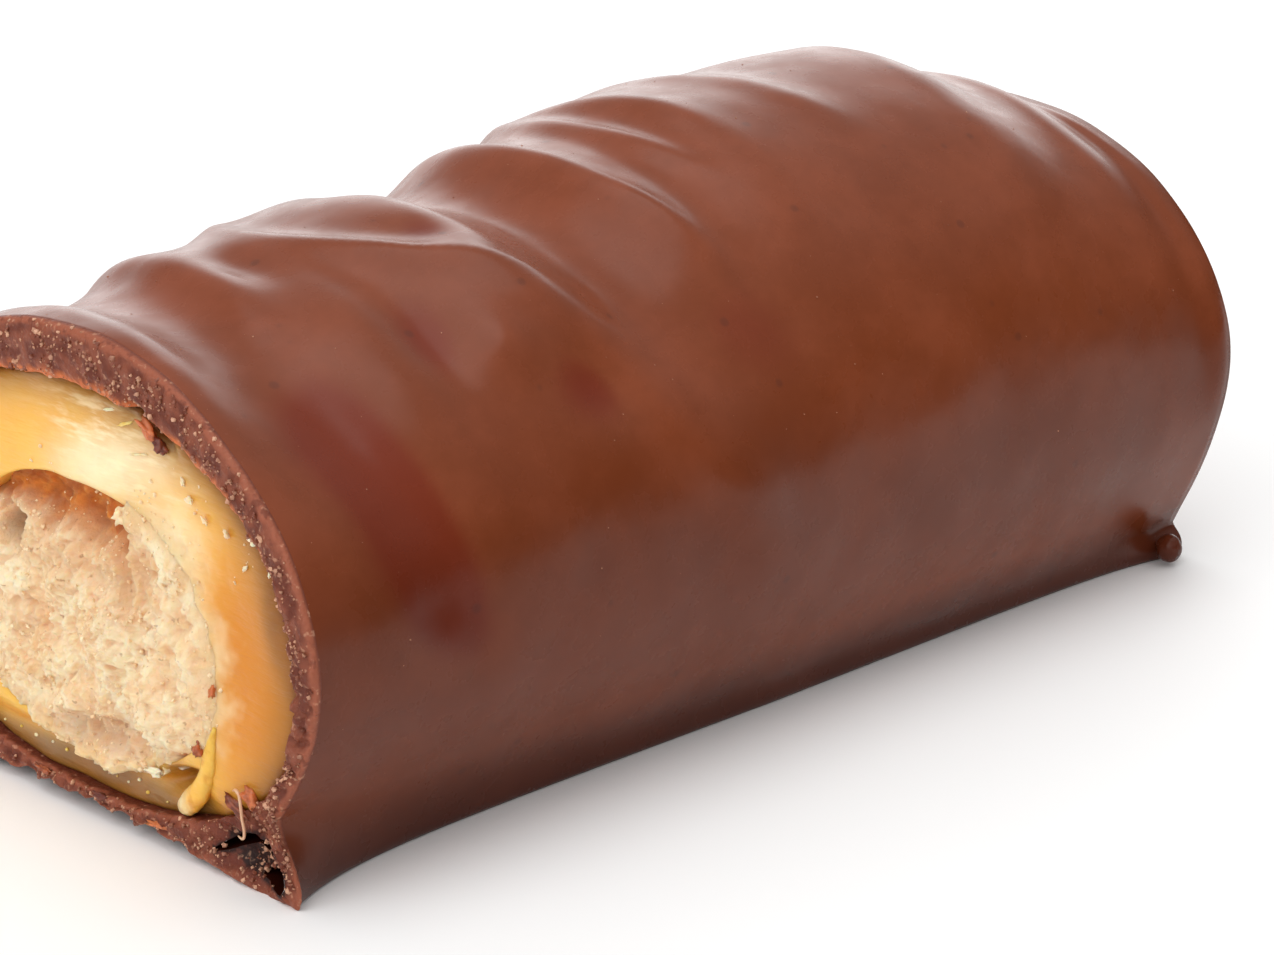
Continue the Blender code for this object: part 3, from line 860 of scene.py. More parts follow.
def rim_paint(points, share, look):
    """Colour of the cut rim: a dark granular band with painted highlights along its outer edge, at
    the top of its inner edge and on the ridge near the bottom.
    """
    up = points[:, 2]
    blotch = smooth_step(uneven(points, 0.7, 71.0, 3), -0.35, 0.35)
    paint = covered(np.array(look.rim_dark), blotch, look.rim_colour)
    edge_jitter = uneven(points, 0.35, 73.0, 2)
    bevel = 0.27 - 0.09 * smooth_step(up, 15.5, 17.0)
    outer = 1.0 - smooth_step(share + 0.07 * edge_jitter, 0.04, bevel)
    inner = smooth_step(share + 0.10 * edge_jitter, 0.8, 0.98) * smooth_step(up, 11.0, 15.0)
    ridge = smooth_step(share + 0.12 * edge_jitter, 0.62, 0.9) * (1.0 - smooth_step(up, 1.3, 1.9))
    # Painted highlight: a lighter band along the rounded outer edge of the cut.
    paint = covered(paint, outer, look.rim_edge_highlight)
    # Painted highlight: only towards the top, the inner edge is painted bright orange where its lip
    # catches the light.
    paint = covered(paint, inner, look.rim_bright)
    # Painted highlight along the ridge near the bottom.
    paint = covered(paint, 0.7 * ridge, look.rim_edge_highlight)
    return patched(points, paint, ((RIM_SHELF, look.rim_red),))


def rim_lines(turns):
    """The cut rim's outer and inner edge lines."""
    edge = coat_outside(CUT_X, turns)[0]
    inner = coat_inside(CUT_X, turns)
    toward = edge - inner
    toward /= np.maximum(np.linalg.norm(toward, axis=1, keepdims=True), 1e-6)
    ragged = RIM_RAGGED * uneven(inner, 0.9, 41.0, 3)[:, None]
    return edge, inner + toward * (ragged - OVERLAP / 2)


def rim_ring(edge, inner, share):
    """One ring of the cut rim, share of the way from its outer edge to its inner one."""
    ring = edge + (inner - edge) * share
    ring[:, 0] = CUT_X + coat_rim_depth(ring, share)
    return ring


def build_coating(look):
    """The coating as one cup: end wall, outside, granular rim, inner wall, and inside."""
    coarse = coat_turns(1)
    fine = coat_turns(FINE)
    loft = Loft()
    ends = []
    body = coat_outside(END_BODY_X, coarse)[0]
    middle = np.array([END_X, 0.0, WIDEST_Z])
    for share, depth in END_RINGS:
        ring = middle + (body - middle) * share
        ring[:, 0] = END_X - depth
        ends.append(ring)
    loft.begin((END_X - END_RINGS[0][1], 0.0, WIDEST_Z), ends[0])
    for ring in ends[1:]:
        loft.ring(ring)
    stands = [np.zeros(len(loft.points))]

    fine_start = CUT_X + FINE_ZONE
    rings = round((END_BODY_X - fine_start) / BODY_RING_SPACING)
    places = [(x, coarse) for x in np.linspace(END_BODY_X, fine_start, rings + 1)]
    places += [(x, fine) for x in np.linspace(fine_start, CUT_X + RIM_START, FINE_RINGS + 1)[1:]]
    for x, turns in places:
        ring, stand = coat_outside(x, turns)
        loft.ring(ring)
        stands.append(stand)

    edge, inner = rim_lines(fine)
    rim_start = len(loft.points)
    shares = np.linspace(0.0, 1.0, RIM_RINGS + 1) ** RIM_SPREAD
    for share in shares:
        ring = rim_ring(edge, inner, share)
        loft.ring(ring, 1)
    rim_stop = len(loft.points)
    for ring in wall_rings(ring, inner, RIM_WALL_DEPTH, RIM_WALL_RINGS):
        loft.ring(ring, 1)
    inner_end = END_X - END_WALL
    for x in np.linspace(CUT_X + RIM_WALL_DEPTH, inner_end, INSIDE_RINGS + 1)[1:]:
        loft.ring(coat_inside(x, coarse), 1)
    loft.cap((inner_end, 0.0, WIDEST_Z), 1)
    stands.append(np.zeros(len(loft.points) - rim_start))

    data = loft.mesh("chocolate_shell")
    # How deep each point lies in a hollow; it drives the painted shade in the coating's hollows.
    set_value(data, "hollow", np.clip(-np.concatenate(stands) / HOLLOW_FULL, 0.0, 1.0))
    points = np.array(loft.points)
    paint = np.tile(np.array(look.rim_dark), (len(points), 1))
    across_rim = np.repeat(shares, len(fine))
    paint[rim_start:rim_stop] = rim_paint(points[rim_start:rim_stop], across_rim, look)
    set_colour(data, "paint", paint)
    return data


def over_pockets(points):
    """1 where a point of the cut lies over a foot pocket, 0 elsewhere."""
    across, up = points[:, 1], points[:, 2]
    covered = np.zeros(len(points))
    for corners in FOOT_POCKETS:
        loop = smooth_curve(corners, POCKET_CORNER_STEPS, True)
        crossings = np.zeros(len(points))
        for (start, low), (stop, high) in zip(loop, np.roll(loop, -1, 0)):
            rise = high - low if high != low else 1.0
            between = (low > up) != (high > up)
            crossings += between & (across < start + (up - low) / rise * (stop - start))
        covered = np.maximum(covered, crossings % 2)
    return covered


def darken_pockets(piece, tone):
    """Paints shade on the pockets' walls and on the cut's edge round them."""
    places = vertex_places(piece.data)
    colours = np.empty(len(places) * 4)
    attribute = piece.data.color_attributes["paint"]
    attribute.data.foreach_get("color", colours)
    colours = colours.reshape(-1, 4)
    corners = np.concatenate([np.array(loop) for loop in FOOT_POCKETS])
    low, high = corners.min(0) - POCKET_MARGIN, corners.max(0) + POCKET_MARGIN
    deep = (places[:, 0] > CUT_X + POCKET_DARK_FROM) & (places[:, 0] < CUT_X + POCKET_DEPTH + 1.0)
    deep &= np.all((places[:, 1:] > low) & (places[:, 1:] < high), axis=1)
    for loop in FOOT_POCKETS:
        edge = smooth_curve(loop, POCKET_CORNER_STEPS, True)
        near = np.flatnonzero((places[:, 0] < CUT_X + 1.0) & (places[:, 1] < -7.0)
                              & (places[:, 2] < 3.0))
        gap = np.linalg.norm(places[near, None, 1:] - edge[None], axis=2).min(1)
        deep[near[gap < POCKET_MARGIN]] = True
    colours[deep, :3] = tone
    attribute.data.foreach_set("color", colours.ravel())


def cut_pockets(piece, tone):
    """Cuts the tapering pockets into the near foot, drops the cutters and darkens the edges."""
    for corners in FOOT_POCKETS:
        loop = smooth_curve(corners, POCKET_CORNER_STEPS, True)
        middle = loop.mean(0)
        rings = []
        for share in np.linspace(0.0, 1.0, POCKET_RINGS + 1):
            x = CUT_X - POCKET_OVERSHOOT + (POCKET_DEPTH + POCKET_OVERSHOOT) * share
            inward = max(x - CUT_X, 0.0) / POCKET_DEPTH
            section = middle + (loop - middle) * (1.0 + (POCKET_TAPER - 1.0) * inward)
            section[:, 0] += POCKET_SHIFT * inward
            rings.append(np.column_stack([np.full(len(section), x), section]))
        loft = Loft()
        loft.tube((rings[0][0, 0], *middle), rings, (x, middle[0] + POCKET_SHIFT, middle[1]), 2)
        solid = loft.mesh("pocket_cutter")
        set_colour(solid, "paint", np.tile(tone, (len(loft.points), 1)))
        set_value(solid, "hollow", np.ones(len(loft.points)))
        for material in piece.data.materials:
            solid.materials.append(material)
        cutter = add_object("pocket_cutter", solid)
        modifier = piece.modifiers.new("pocket", "BOOLEAN")
        modifier.operation = "DIFFERENCE"
        modifier.solver = "EXACT"
        modifier.object = cutter
        keep_result(piece)
        bpy.data.objects.remove(cutter, do_unlink=True)
    darken_pockets(piece, tone)
    piece.data.set_sharp_from_angle(angle=math.radians(POCKET_SHARP))


class BAR_OT_coating(bpy.types.Operator):
    """Build the chocolate coating with its ripples, granular rim and foot pockets"""

    bl_idname = "caramel_bar.coating"
    bl_label = "Coating"

    def execute(self, context):
        look = context.scene.bar_chocolate
        data = build_coating(look)
        # Painted shade: the pocket walls get a very dark, dull finish without gloss.
        shade = Finish("pocket_shade")
        shade.fill(shade.shader, Base_Color=(*[POCKET_SHADE * tone for tone in look.rim_red], 1.0),
                   Roughness=1.0, Specular_IOR_Level=0.0)
        for material in (chocolate_finish(look), cut_chocolate_finish(look), shade.material):
            data.materials.append(material)
        shell = add_object("chocolate_shell", data)
        cut_pockets(shell, np.array(look.rim_red) * POCKET_SHADE)
        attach(shell, BODY)
        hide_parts("chocolate_coating")
        return {"FINISHED"}


# Caramel

CARAMEL_FRONT = 0.35
STRIP_SINK = 0.3
CARAMEL_AROUND = 480
CARAMEL_RINGS = 44
CARAMEL_WALL_RINGS = 10
CARAMEL_WALL_DEPTH = 2.6
CARAMEL_INSIDE_AROUND = 160
CARAMEL_HIDDEN_FROM = 2.0
CENTRE_SINK = 0.05
HIDDEN_RINGS = 8
CARAMEL_GAP = Patch(-4.7, 16.2, 1.3, 0.22, 29.0, 0.6)
CARAMEL_SMEAR = Patch(-6.2, 9.8, 2.0, 3.8, 10.0, 1.0)
CARAMEL_NICHE = Patch(-5.6, 2.85, 1.2, 0.45, -20.0, 1.3)
CARAMEL_PULLED = Patch(-2.4, 14.6, 4.0, 1.6, 10.0, 1.0)


def caramel_depth(points, share):
    """How far the caramel's cut face lies behind the cut plane."""
    depth = CARAMEL_FRONT + 0.22 * uneven(points, 3.6, 7.0)
    depth += 0.35 * np.exp(-share / 0.05) + 0.08 * np.exp(-(1.0 - share) / 0.04)
    depth += patch_mask(points, CARAMEL_GAP)
    sink = 1.0 - smooth_step(points[..., 2], 2.2, 3.3)
    depth += STRIP_SINK * sink * smooth_step(points[..., 1], -8.5, -6.5)
    depth += patch_mask(points, CARAMEL_SMEAR) * 0.22 * uneven(points, 0.7, 9.0, 3)
    return depth + patch_mask(points, CARAMEL_NICHE)


def caramel_ring(outer, inner, share):
    """One ring of the caramel's cut face, share of the way from its outer edge to its inner one."""
    ring = outer + (inner - outer) * share
    ring[:, 0] = CUT_X + caramel_depth(ring, share)
    return ring


def strip_depth(across, up):
    """Depth of the caramel strip below the centre at one place."""
    return float(caramel_depth(np.array([CUT_X, across, up]), 0.4))


def caramel_paint(points, share, look):
    """Colour of the caramel's cut face, with painted shade where it meets the chocolate and in the
    gap under the rim's lip.
    """
    paint = patched(points, np.tile(np.array(look.caramel_gold), (len(points), 1)), (
        (Patch(-9.6, 8.0, 3.0, 5.4, 0.0, 1.0), look.caramel_amber),
        (Patch(9.6, 8.0, 3.0, 5.4, 0.0, 1.0), look.caramel_amber),
        (Patch(-11.6, 10.5, 0.9, 2.6, -12.0, 0.85), look.caramel_olive),
        (Patch(-9.6, 14.0, 2.2, 0.7, 40.0, 0.8), look.caramel_olive),
        (Patch(-2.4, 14.2, 3.8, 1.3, -12.0, 0.95), look.caramel_cream),
        (Patch(-5.6, 11.8, 1.6, 1.9, 30.0, 0.85), look.caramel_cream),
        (Patch(-6.6, 9.0, 1.0, 2.8, 10.0, 0.75), look.caramel_smear),
        (Patch(0.0, 1.7, 8.6, 0.8, 0.0, 1.0), look.caramel_under),
        (Patch(0.0, 2.6, 7.0, 0.25, 0.0, 0.8), look.caramel_amber),
        (Patch(-5.4, 3.1, 1.3, 0.6, -10.0, 0.9), look.caramel_olive),
    ))
    # Olive for the thin caramel by the chocolate; the narrow dark band right at the junction is
    # painted shade.
    for reach, tone, amount in ((0.32, look.caramel_olive, 0.85), (0.07, look.caramel_junction_shade, 0.9)):
        paint = covered(paint, amount * np.exp(-(share / reach) ** 2), tone)
    near = smooth_step(share + 0.2 * uneven(points, 0.9, 75.0, 3), 0.6, 1.0)
    near = 0.85 * near * smooth_step(-points[:, 1], 2.5, 4.0) * smooth_step(points[:, 2], 3.5, 5.0)
    paint = covered(paint, near, look.caramel_smear)
    # Painted shade in the gap under the rim's lip.
    gap = np.clip(2.2 * patch_mask(points, CARAMEL_GAP), 0.0, 1.0)
    return covered(paint, gap, look.caramel_junction_shade)


def build_caramel(look):
    """The caramel tube: hidden outside, cut face, the wall over the centre, and inside."""
    fine = np.linspace(-180.0, 180.0, CARAMEL_AROUND, endpoint=False)
    coarse = np.linspace(-180.0, 180.0, CARAMEL_INSIDE_AROUND, endpoint=False)
    back = END_X - END_WALL - OVERLAP
    outer = coat_inside(CUT_X, fine, -OVERLAP)
    inner = centre_outside(CUT_X, fine, CENTRE_SINK)
    rings = [(coat_inside(x, coarse, -OVERLAP), 0.0)
             for x in np.linspace(back, CUT_X + CARAMEL_HIDDEN_FROM, HIDDEN_RINGS)]
    rings += [(caramel_ring(outer, inner, share), share)
              for share in np.linspace(0.0, 1.0, CARAMEL_RINGS + 1)]
    rings += [(ring, 1.0) for ring in wall_rings(rings[-1][0], inner, CARAMEL_WALL_DEPTH,
                                                 CARAMEL_WALL_RINGS)]
    rings += [(centre_outside(x, coarse, CENTRE_SINK), 1.0)
              for x in np.linspace(CUT_X + CARAMEL_WALL_DEPTH, back, HIDDEN_RINGS)[1:]]
    loft = Loft()
    for ring, share in rings:
        loft.ring(ring)
    loft.join(loft.last, list(range(len(coarse))), 0)

    data = loft.mesh("caramel_mass")
    points = np.array(loft.points)
    shares = np.concatenate([np.full(len(ring), share) for ring, share in rings])
    set_colour(data, "paint", caramel_paint(points, shares, look))
    set_value(data, "pulled", patch_mask(points, CARAMEL_PULLED))
    return data


class BAR_OT_caramel(bpy.types.Operator):
    """Build the caramel tube with its glossy, pulled cut face"""

    bl_idname = "caramel_bar.caramel"
    bl_label = "Caramel"

    def execute(self, context):
        look = context.scene.bar_caramel
        place_piece("caramel_mass", build_caramel(look), (caramel_finish(look),), "soft_caramel",
                    "caramel_layer")
        return {"FINISHED"}


# Crumb centre

CENTRE_FRONT = 0.62
CENTRE_AROUND = 360
CENTRE_RINGS = 90
CENTRE_RECESS = 1.3
CENTRE_EDGE_DIP = 0.3
CENTRE_OVERHANG = 0.45
CENTRE_BACK_AROUND = 120
CENTRE_HIDDEN_FROM = 3.0
# Clumps of the crumb: (size, height, seed)
CLUMPS = ((3.0, 0.8, 11.0), (1.2, 0.5, 13.0), (0.5, 0.32, 17.0), (0.25, 0.16, 19.0))
CENTRE_HOLLOWS = (
    Patch(-2.9, 9.6, 0.3, 1.7, 0.0, 0.45),
    Patch(4.2, 10.0, 0.6, 0.9, 0.0, 1.2),
    Patch(-1.2, 3.6, 3.2, 0.5, -8.0, 0.5),
    Patch(-5.6, 3.5, 0.9, 0.5, -20.0, 0.6),
    Patch(-4.2, 10.2, 0.9, 0.9, 0.0, 0.35),
    Patch(2.4, 4.8, 0.7, 0.4, 20.0, 0.35),
)


def centre_recess(points):
    """1 in the sunk strip under the top of the centre, 0 elsewhere."""
    line = 11.0 + 0.6 * uneven(points * np.array([0.0, 1.0, 0.0]), 1.6, 51.0, 3)
    strip = smooth_step(points[..., 2], line - 0.6, line + 0.6)
    return strip * smooth_step(points[..., 1], -3.3, -2.8)


def centre_depth(points, share):
    """How far the crumb centre's cut face lies behind the cut plane."""
    recess = centre_recess(points)
    clumps = sum(amount * np.abs(uneven(points, size, seed, 2)) for size, amount, seed in CLUMPS)
    dip = CENTRE_EDGE_DIP * smooth_step(share, 0.94, 1.0) * (1.0 - recess)
    depth = CENTRE_FRONT + CENTRE_RECESS * recess - clumps + dip
    for hollow in CENTRE_HOLLOWS:
        depth = depth + patch_mask(points, hollow)
    flush = smooth_step(share, 0.82, 1.0) * (1.0 - recess)
    flush = flush * smooth_step(points[..., 2], 3.8, 5.5)
    sunk = -0.04 + 0.14 * smooth_step(share, 0.9, 1.0) + 0.1 * uneven(points, 0.7, 57.0)
    return depth * (1.0 - flush) + (caramel_depth(points, 0.9) + sunk) * flush


def centre_paint(points, look):
    """Colour of the crumb centre's cut face, with painted shade in the sunk top strip, in the
    hollow along the bottom, in the gap at the lower right and in a deep hole near the top.
    """
    shade = smooth_step(uneven(points, 1.6, 61.0, 3), -0.45, 0.45)
    paint = patched(points, covered(np.array(look.crumb_colour), shade, look.crumb_cream), (
        (Patch(-3.0, 10.0, 1.6, 1.9, 0.0, 0.8), look.crumb_tan),
        (Patch(1.0, 9.9, 3.4, 1.0, 0.0, 0.55), look.crumb_tan),
        # Painted shade: grey in the hollow along the bottom, brown in the gap at the lower right
        # and fleck brown in the deep hole near the top; the brown patch at (2.6, 7.0) is a stain.
        (Patch(-1.2, 3.4, 3.6, 0.8, -8.0, 0.7), look.crumb_grey),
        (Patch(-2.3, 7.3, 1.5, 2.2, 0.0, 0.7), look.crumb_cream),
        (Patch(-4.6, 5.0, 1.6, 1.2, 0.0, 0.6), look.crumb_cream),
        (Patch(-5.8, 3.6, 0.7, 0.5, 0.0, 0.9), look.crumb_stain_and_shade),
        (Patch(2.6, 7.0, 1.2, 0.8, 0.0, 0.35), look.crumb_stain_and_shade),
        (Patch(4.2, 10.2, 0.6, 0.9, 0.0, 0.8), look.crumb_fleck_and_shade),
    ))
    above = points[:, 2] - CENTRE_WIDEST_Z
    reach = np.where(above > 0.0, CENTRE_TOP_SHARE * TOP_LINE[0][1] - CENTRE_WIDEST_Z,
                     CENTRE_WIDEST_Z - CENTRE_BOTTOM_Z)
    span = (np.abs(points[:, 1]) / CENTRE_HALF_WIDTH) ** CENTRE_POWER
    span = span + (np.abs(above) / reach) ** CENTRE_POWER
    mottle = 0.55 * smooth_step(uneven(points, 0.6, 67.0, 3), 0.0, 0.45)
    paint = covered(paint, mottle, look.crumb_tan)
    edge = 0.8 * smooth_step(span + 0.35 * uneven(points, 0.8, 65.0), 0.8, 1.15)
    paint = covered(paint, edge, look.crumb_smear)
    # Painted shade: the sunk strip under the top of the centre is painted orange-brown, as shade
    # with warm light bounced from the caramel, where some caramel also shows through.
    recess_mottle = smooth_step(uneven(points, 0.8, 63.0, 3), -0.3, 0.4)
    recess_tone = covered(np.array(look.crumb_recess_shade), recess_mottle, look.crumb_stain_and_shade)
    recess = centre_recess(points)[:, None]
    return paint * (1.0 - recess) + recess_tone * recess


def centre_face_rings(turns, count):
    """Rings of the centre's cut face, from its ragged edge over the caramel towards its middle."""
    edge = centre_outside(CUT_X, turns, CENTRE_OVERHANG)
    edge += 0.22 * uneven(edge, 1.1, 53.0, 3)[:, None] * np.array([0.0, 1.0, 1.0])
    middle = np.array([CUT_X, 0.0, CENTRE_WIDEST_Z])
    rings = []
    for share in np.linspace(1.0, 0.0, count + 1)[:-1]:
        ring = middle + (edge - middle) * share
        ring[:, 0] = CUT_X + centre_depth(ring, share)
        rings.append(ring)
    return rings


def build_centre(look):
    """The crumb centre: hidden back and sides, and the crumbly cut face."""
    fine = np.linspace(-180.0, 180.0, CENTRE_AROUND, endpoint=False)
    coarse = np.linspace(-180.0, 180.0, CENTRE_BACK_AROUND, endpoint=False)
    back = END_X - END_WALL - OVERLAP
    rings = [centre_outside(x, coarse)
             for x in np.linspace(back, CUT_X + CENTRE_HIDDEN_FROM, HIDDEN_RINGS)]
    middle = np.array([[CUT_X, 0.0, CENTRE_WIDEST_Z]])
    middle[0, 0] = CUT_X + centre_depth(middle, 0.0)[0]
    loft = Loft()
    loft.tube((back, 0.0, CENTRE_WIDEST_Z), rings + centre_face_rings(fine, CENTRE_RINGS),
              tuple(middle[0]))
    data = loft.mesh("crumb_core")
    set_colour(data, "paint", centre_paint(np.array(loft.points), look))
    return data


class BAR_OT_centre(bpy.types.Operator):
    """Build the crumbly centre with its cragged cut face"""

    bl_idname = "caramel_bar.centre"
    bl_label = "Centre"

    def execute(self, context):
        look = context.scene.bar_crumb
        place_piece("crumb_core", build_centre(look), (crumb_finish(look),), "pale_crumb",
                    "crumb_centre")
        return {"FINISHED"}


# Strewn grains and crumbs


def strewing_tree():
    """Strews irregular lumps over a surface, as many as its 'strewn' attribute and Density say."""
    tree = bpy.data.node_groups.new("strewn_lumps", "GeometryNodeTree")
    sockets = (("Surface", "NodeSocketGeometry"), ("Density", "NodeSocketFloat"),
               ("Size", "NodeSocketFloat"), ("Detail", "NodeSocketInt"),
               ("Seed", "NodeSocketInt"), ("Finish", "NodeSocketMaterial"))
    for name, kind in sockets:
        tree.interface.new_socket(name, in_out="INPUT", socket_type=kind)
    tree.interface.new_socket("Lumps", in_out="OUTPUT", socket_type="NodeSocketGeometry")

    def node(kind, inputs=(), **settings):
        made = tree.nodes.new(kind)
        for key, value in settings.items():
            setattr(made, key, value)
        for name, value in dict(inputs).items():
            if isinstance(value, bpy.types.NodeSocket):
                tree.links.new(value, made.inputs[name])
            else:
                made.inputs[name].default_value = value
        return made

    def times(first, second):
        made = node("ShaderNodeMath", {0: first, 1: second}, operation="MULTIPLY")
        return made.outputs["Value"]

    def stretch(vector, scale):
        made = node("ShaderNodeVectorMath", {0: vector, "Scale": scale}, operation="SCALE")
        return made.outputs["Vector"]

    def random(shift, kind="FLOAT", low=0.0, high=1.0):
        seed = node("ShaderNodeMath", {0: given["Seed"], 1: shift}, operation="ADD")
        made = node("FunctionNodeRandomValue", {"Seed": seed.outputs["Value"]}, data_type=kind)
        first = 0 if kind == "FLOAT_VECTOR" else 2
        made.inputs[first].default_value = low
        made.inputs[first + 1].default_value = high
        return made.outputs[first // 2]

    given = node("NodeGroupInput").outputs
    strewn = node("GeometryNodeInputNamedAttribute", {"Name": "strewn"}, data_type="FLOAT")
    density = times(given["Density"], strewn.outputs["Attribute"])
    points = node("GeometryNodeDistributePointsOnFaces",
                  {"Mesh": given["Surface"], "Density": density, "Seed": given["Seed"]},
                  distribute_method="RANDOM")
    shaded = node("GeometryNodeStoreNamedAttribute",
                  {"Geometry": points.outputs["Points"], "Name": "shade",
                   "Value": random(1)}, data_type="FLOAT", domain="POINT")

    ball = node("GeometryNodeMeshIcoSphere", {"Radius": 0.5, "Subdivisions": given["Detail"]})
    place = node("GeometryNodeInputPosition").outputs["Position"]
    rough = node("ShaderNodeTexNoise", {"Vector": place, "Scale": 2.3, "Detail": 1.0})
    centred = node("ShaderNodeVectorMath", {0: rough.outputs["Color"], 1: (0.5, 0.5, 0.5)},
                   operation="SUBTRACT")
    lump = node("GeometryNodeSetPosition",
                {"Geometry": ball.outputs["Mesh"],
                 "Offset": stretch(centred.outputs["Vector"], 0.9)})

    rare = node("ShaderNodeMath", {0: random(2), 1: 3.0}, operation="POWER")
    spread = node("ShaderNodeMapRange", {"Value": rare.outputs["Value"], "To Min": 0.55,
                                         "To Max": 1.9})
    size = times(given["Size"], spread.outputs["Result"])
    shape = stretch(random(3, "FLOAT_VECTOR", (0.7, 0.6, 0.5), (1.3, 1.0, 0.8)), size)
    laid = node("GeometryNodeInstanceOnPoints",
                {"Points": shaded.outputs["Geometry"], "Instance": lump.outputs["Geometry"],
                 "Rotation": random(4, "FLOAT_VECTOR", (0.0, 0.0, 0.0), (6.28, 0.6, 0.6)),
                 "Scale": shape})
    real = node("GeometryNodeRealizeInstances", {"Geometry": laid.outputs["Instances"]})
    finished = node("GeometryNodeSetMaterial",
                    {"Geometry": real.outputs["Geometry"], "Material": given["Finish"]})
    node("NodeGroupOutput", {"Lumps": finished.outputs["Geometry"]})
    return tree


def sheet(rings, strewn):
    """An open sheet through rings, with how thickly each point is strewn."""
    count = len(rings[0])
    points = np.concatenate(rings)
    faces = []
    for row in range(len(rings) - 1):
        for index in range(count):
            following = (index + 1) % count
            faces.append((row * count + index, row * count + following,
                          (row + 1) * count + following, (row + 1) * count + index))
    data = bpy.data.meshes.new("strewn_sheet")
    data.from_pydata([tuple(point * MM) for point in points], [], faces)
    set_value(data, "strewn", strewn(points))
    return data


def strew(name, data, finish, slot_name, **values):
    """Strews lumps over a sheet and keeps them as a plain piece without the sheet."""
    piece = add_object(name, data)
    tree = bpy.data.node_groups.get("strewn_lumps") or strewing_tree()
    modifier = piece.modifiers.new("strewn", "NODES")
    modifier.node_group = tree
    values["Finish"] = finish
    for item in tree.interface.items_tree:
        if item.in_out == "INPUT" and item.name in values:
            modifier[item.identifier] = values[item.name]
    keep_result(piece)
    piece.data.shade_smooth()
    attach(piece, BODY)


class BAR_OT_rim_grains(bpy.types.Operator):
    """Strew sugar grains and chips over the cut rim of the coating"""

    bl_idname = "caramel_bar.rim_grains"
    bl_label = "Rim Grains"

    def execute(self, context):
        look, sizes = context.scene.bar_chocolate, context.scene.bar_scatter
        turns = coat_turns(2)
        edge, inner = rim_lines(turns)
        shares = np.linspace(0.0, 1.0, 11)
        rings = [rim_ring(edge, inner, share) for share in shares]
        share = np.repeat(shares, len(turns))

        def thick(points):
            patchy = smooth_step(uneven(points, 1.5, 81.0, 2), -0.4, 0.5)
            patchy = patchy * (1.0 - over_pockets(points))
            low_side = 1.0 - smooth_step(points[:, 2], 9.0, 12.0)
            patchy = patchy * (1.0 + 1.5 * low_side * (points[:, 1] < -9.0))
            return patchy * (0.25 + 0.75 * smooth_step(share, 0.1, 0.35))

        finish = grain_finish("sugar_grains", look.rim_pale, look.rim_colour, 0.4)
        strew("rim_grains", sheet(rings, thick), finish, "milk_chocolate",
              Density=sizes.granule_density, Size=sizes.granule, Detail=2,
              Seed=sizes.seed)
        return {"FINISHED"}


class BAR_OT_crumbs(bpy.types.Operator):
    """Strew crumbs over the centre's face and where it smears over the caramel"""

    bl_idname = "caramel_bar.crumbs"
    bl_label = "Crumbs"

    def execute(self, context):
        look, sizes = context.scene.bar_crumb, context.scene.bar_scatter
        turns = np.linspace(-180.0, 180.0, 240, endpoint=False)
        rings = centre_face_rings(turns, 40)

        def thick(points):
            patchy = smooth_step(uneven(points, 1.3, 83.0, 2), -0.3, 0.5)
            return patchy * (1.0 - 0.6 * centre_recess(points))

        finish = grain_finish("crumbs", look.crumb_cream, look.crumb_colour, 0.8)
        strew("centre_crumbs", sheet(rings, thick), finish, "pale_crumb",
              Density=sizes.crumb_density, Size=sizes.crumb, Detail=2,
              Seed=sizes.seed + 10)

        outer = coat_inside(CUT_X, turns)
        inner = centre_outside(CUT_X, turns)
        rings = [caramel_ring(outer, inner, share) for share in np.linspace(0.0, 1.0, 25)]

        def smeared(points):
            thickness = sum(patch_mask(points, smear) for smear in CRUMB_SMEARS)
            return thickness * smooth_step(uneven(points, 0.9, 85.0, 2), -0.35, 0.4)

        strew("stray_crumbs", sheet(rings, smeared), finish, "pale_crumb",
              Density=sizes.crumb_density, Size=sizes.crumb, Detail=2,
              Seed=sizes.seed + 20)
        return {"FINISHED"}


CRUMB_SMEARS = (
    Patch(-4.6, 11.8, 1.7, 2.2, 35.0, 0.9),
    Patch(-6.9, 8.6, 0.9, 2.4, 10.0, 0.9),
    Patch(-7.3, 5.2, 0.6, 1.6, -10.0, 0.6),
    Patch(-9.6, 12.7, 1.6, 0.8, -40.0, 0.35),
    Patch(-6.8, 14.0, 0.9, 0.7, -30.0, 0.6),
    Patch(-1.0, 13.2, 4.0, 0.35, 0.0, 0.5),
)


class BAR_OT_specks(bpy.types.Operator):
    """Strew tiny pale specks of dust over the coating"""

    bl_idname = "caramel_bar.specks"
    bl_label = "Specks"

    def execute(self, context):
        look, sizes = context.scene.bar_chocolate, context.scene.bar_scatter
        turns = coat_turns(1)
        rings = [coat_outside(x, turns)[0] for x in np.linspace(CUT_X + 0.3, END_BODY_X, 130)]

        def thick(points):
            return smooth_step(points[:, 2], 1.0, 3.0)

        finish = grain_finish("dust_specks", look.rim_pale, look.coat_pale, 0.5)
        strew("dust_specks", sheet(rings, thick), finish, "milk_chocolate",
              Density=sizes.speck_density, Size=sizes.speck, Detail=1,
              Seed=sizes.seed + 30)
        return {"FINISHED"}


# Flakes, curls, bubbles, tongue and thread on the cut face


class Bit(NamedTuple):
    """A single lump on the cut face, length along tilt and width across it."""

    across: float
    up: float
    depth: float
    length: float
    width: float
    tilt: float


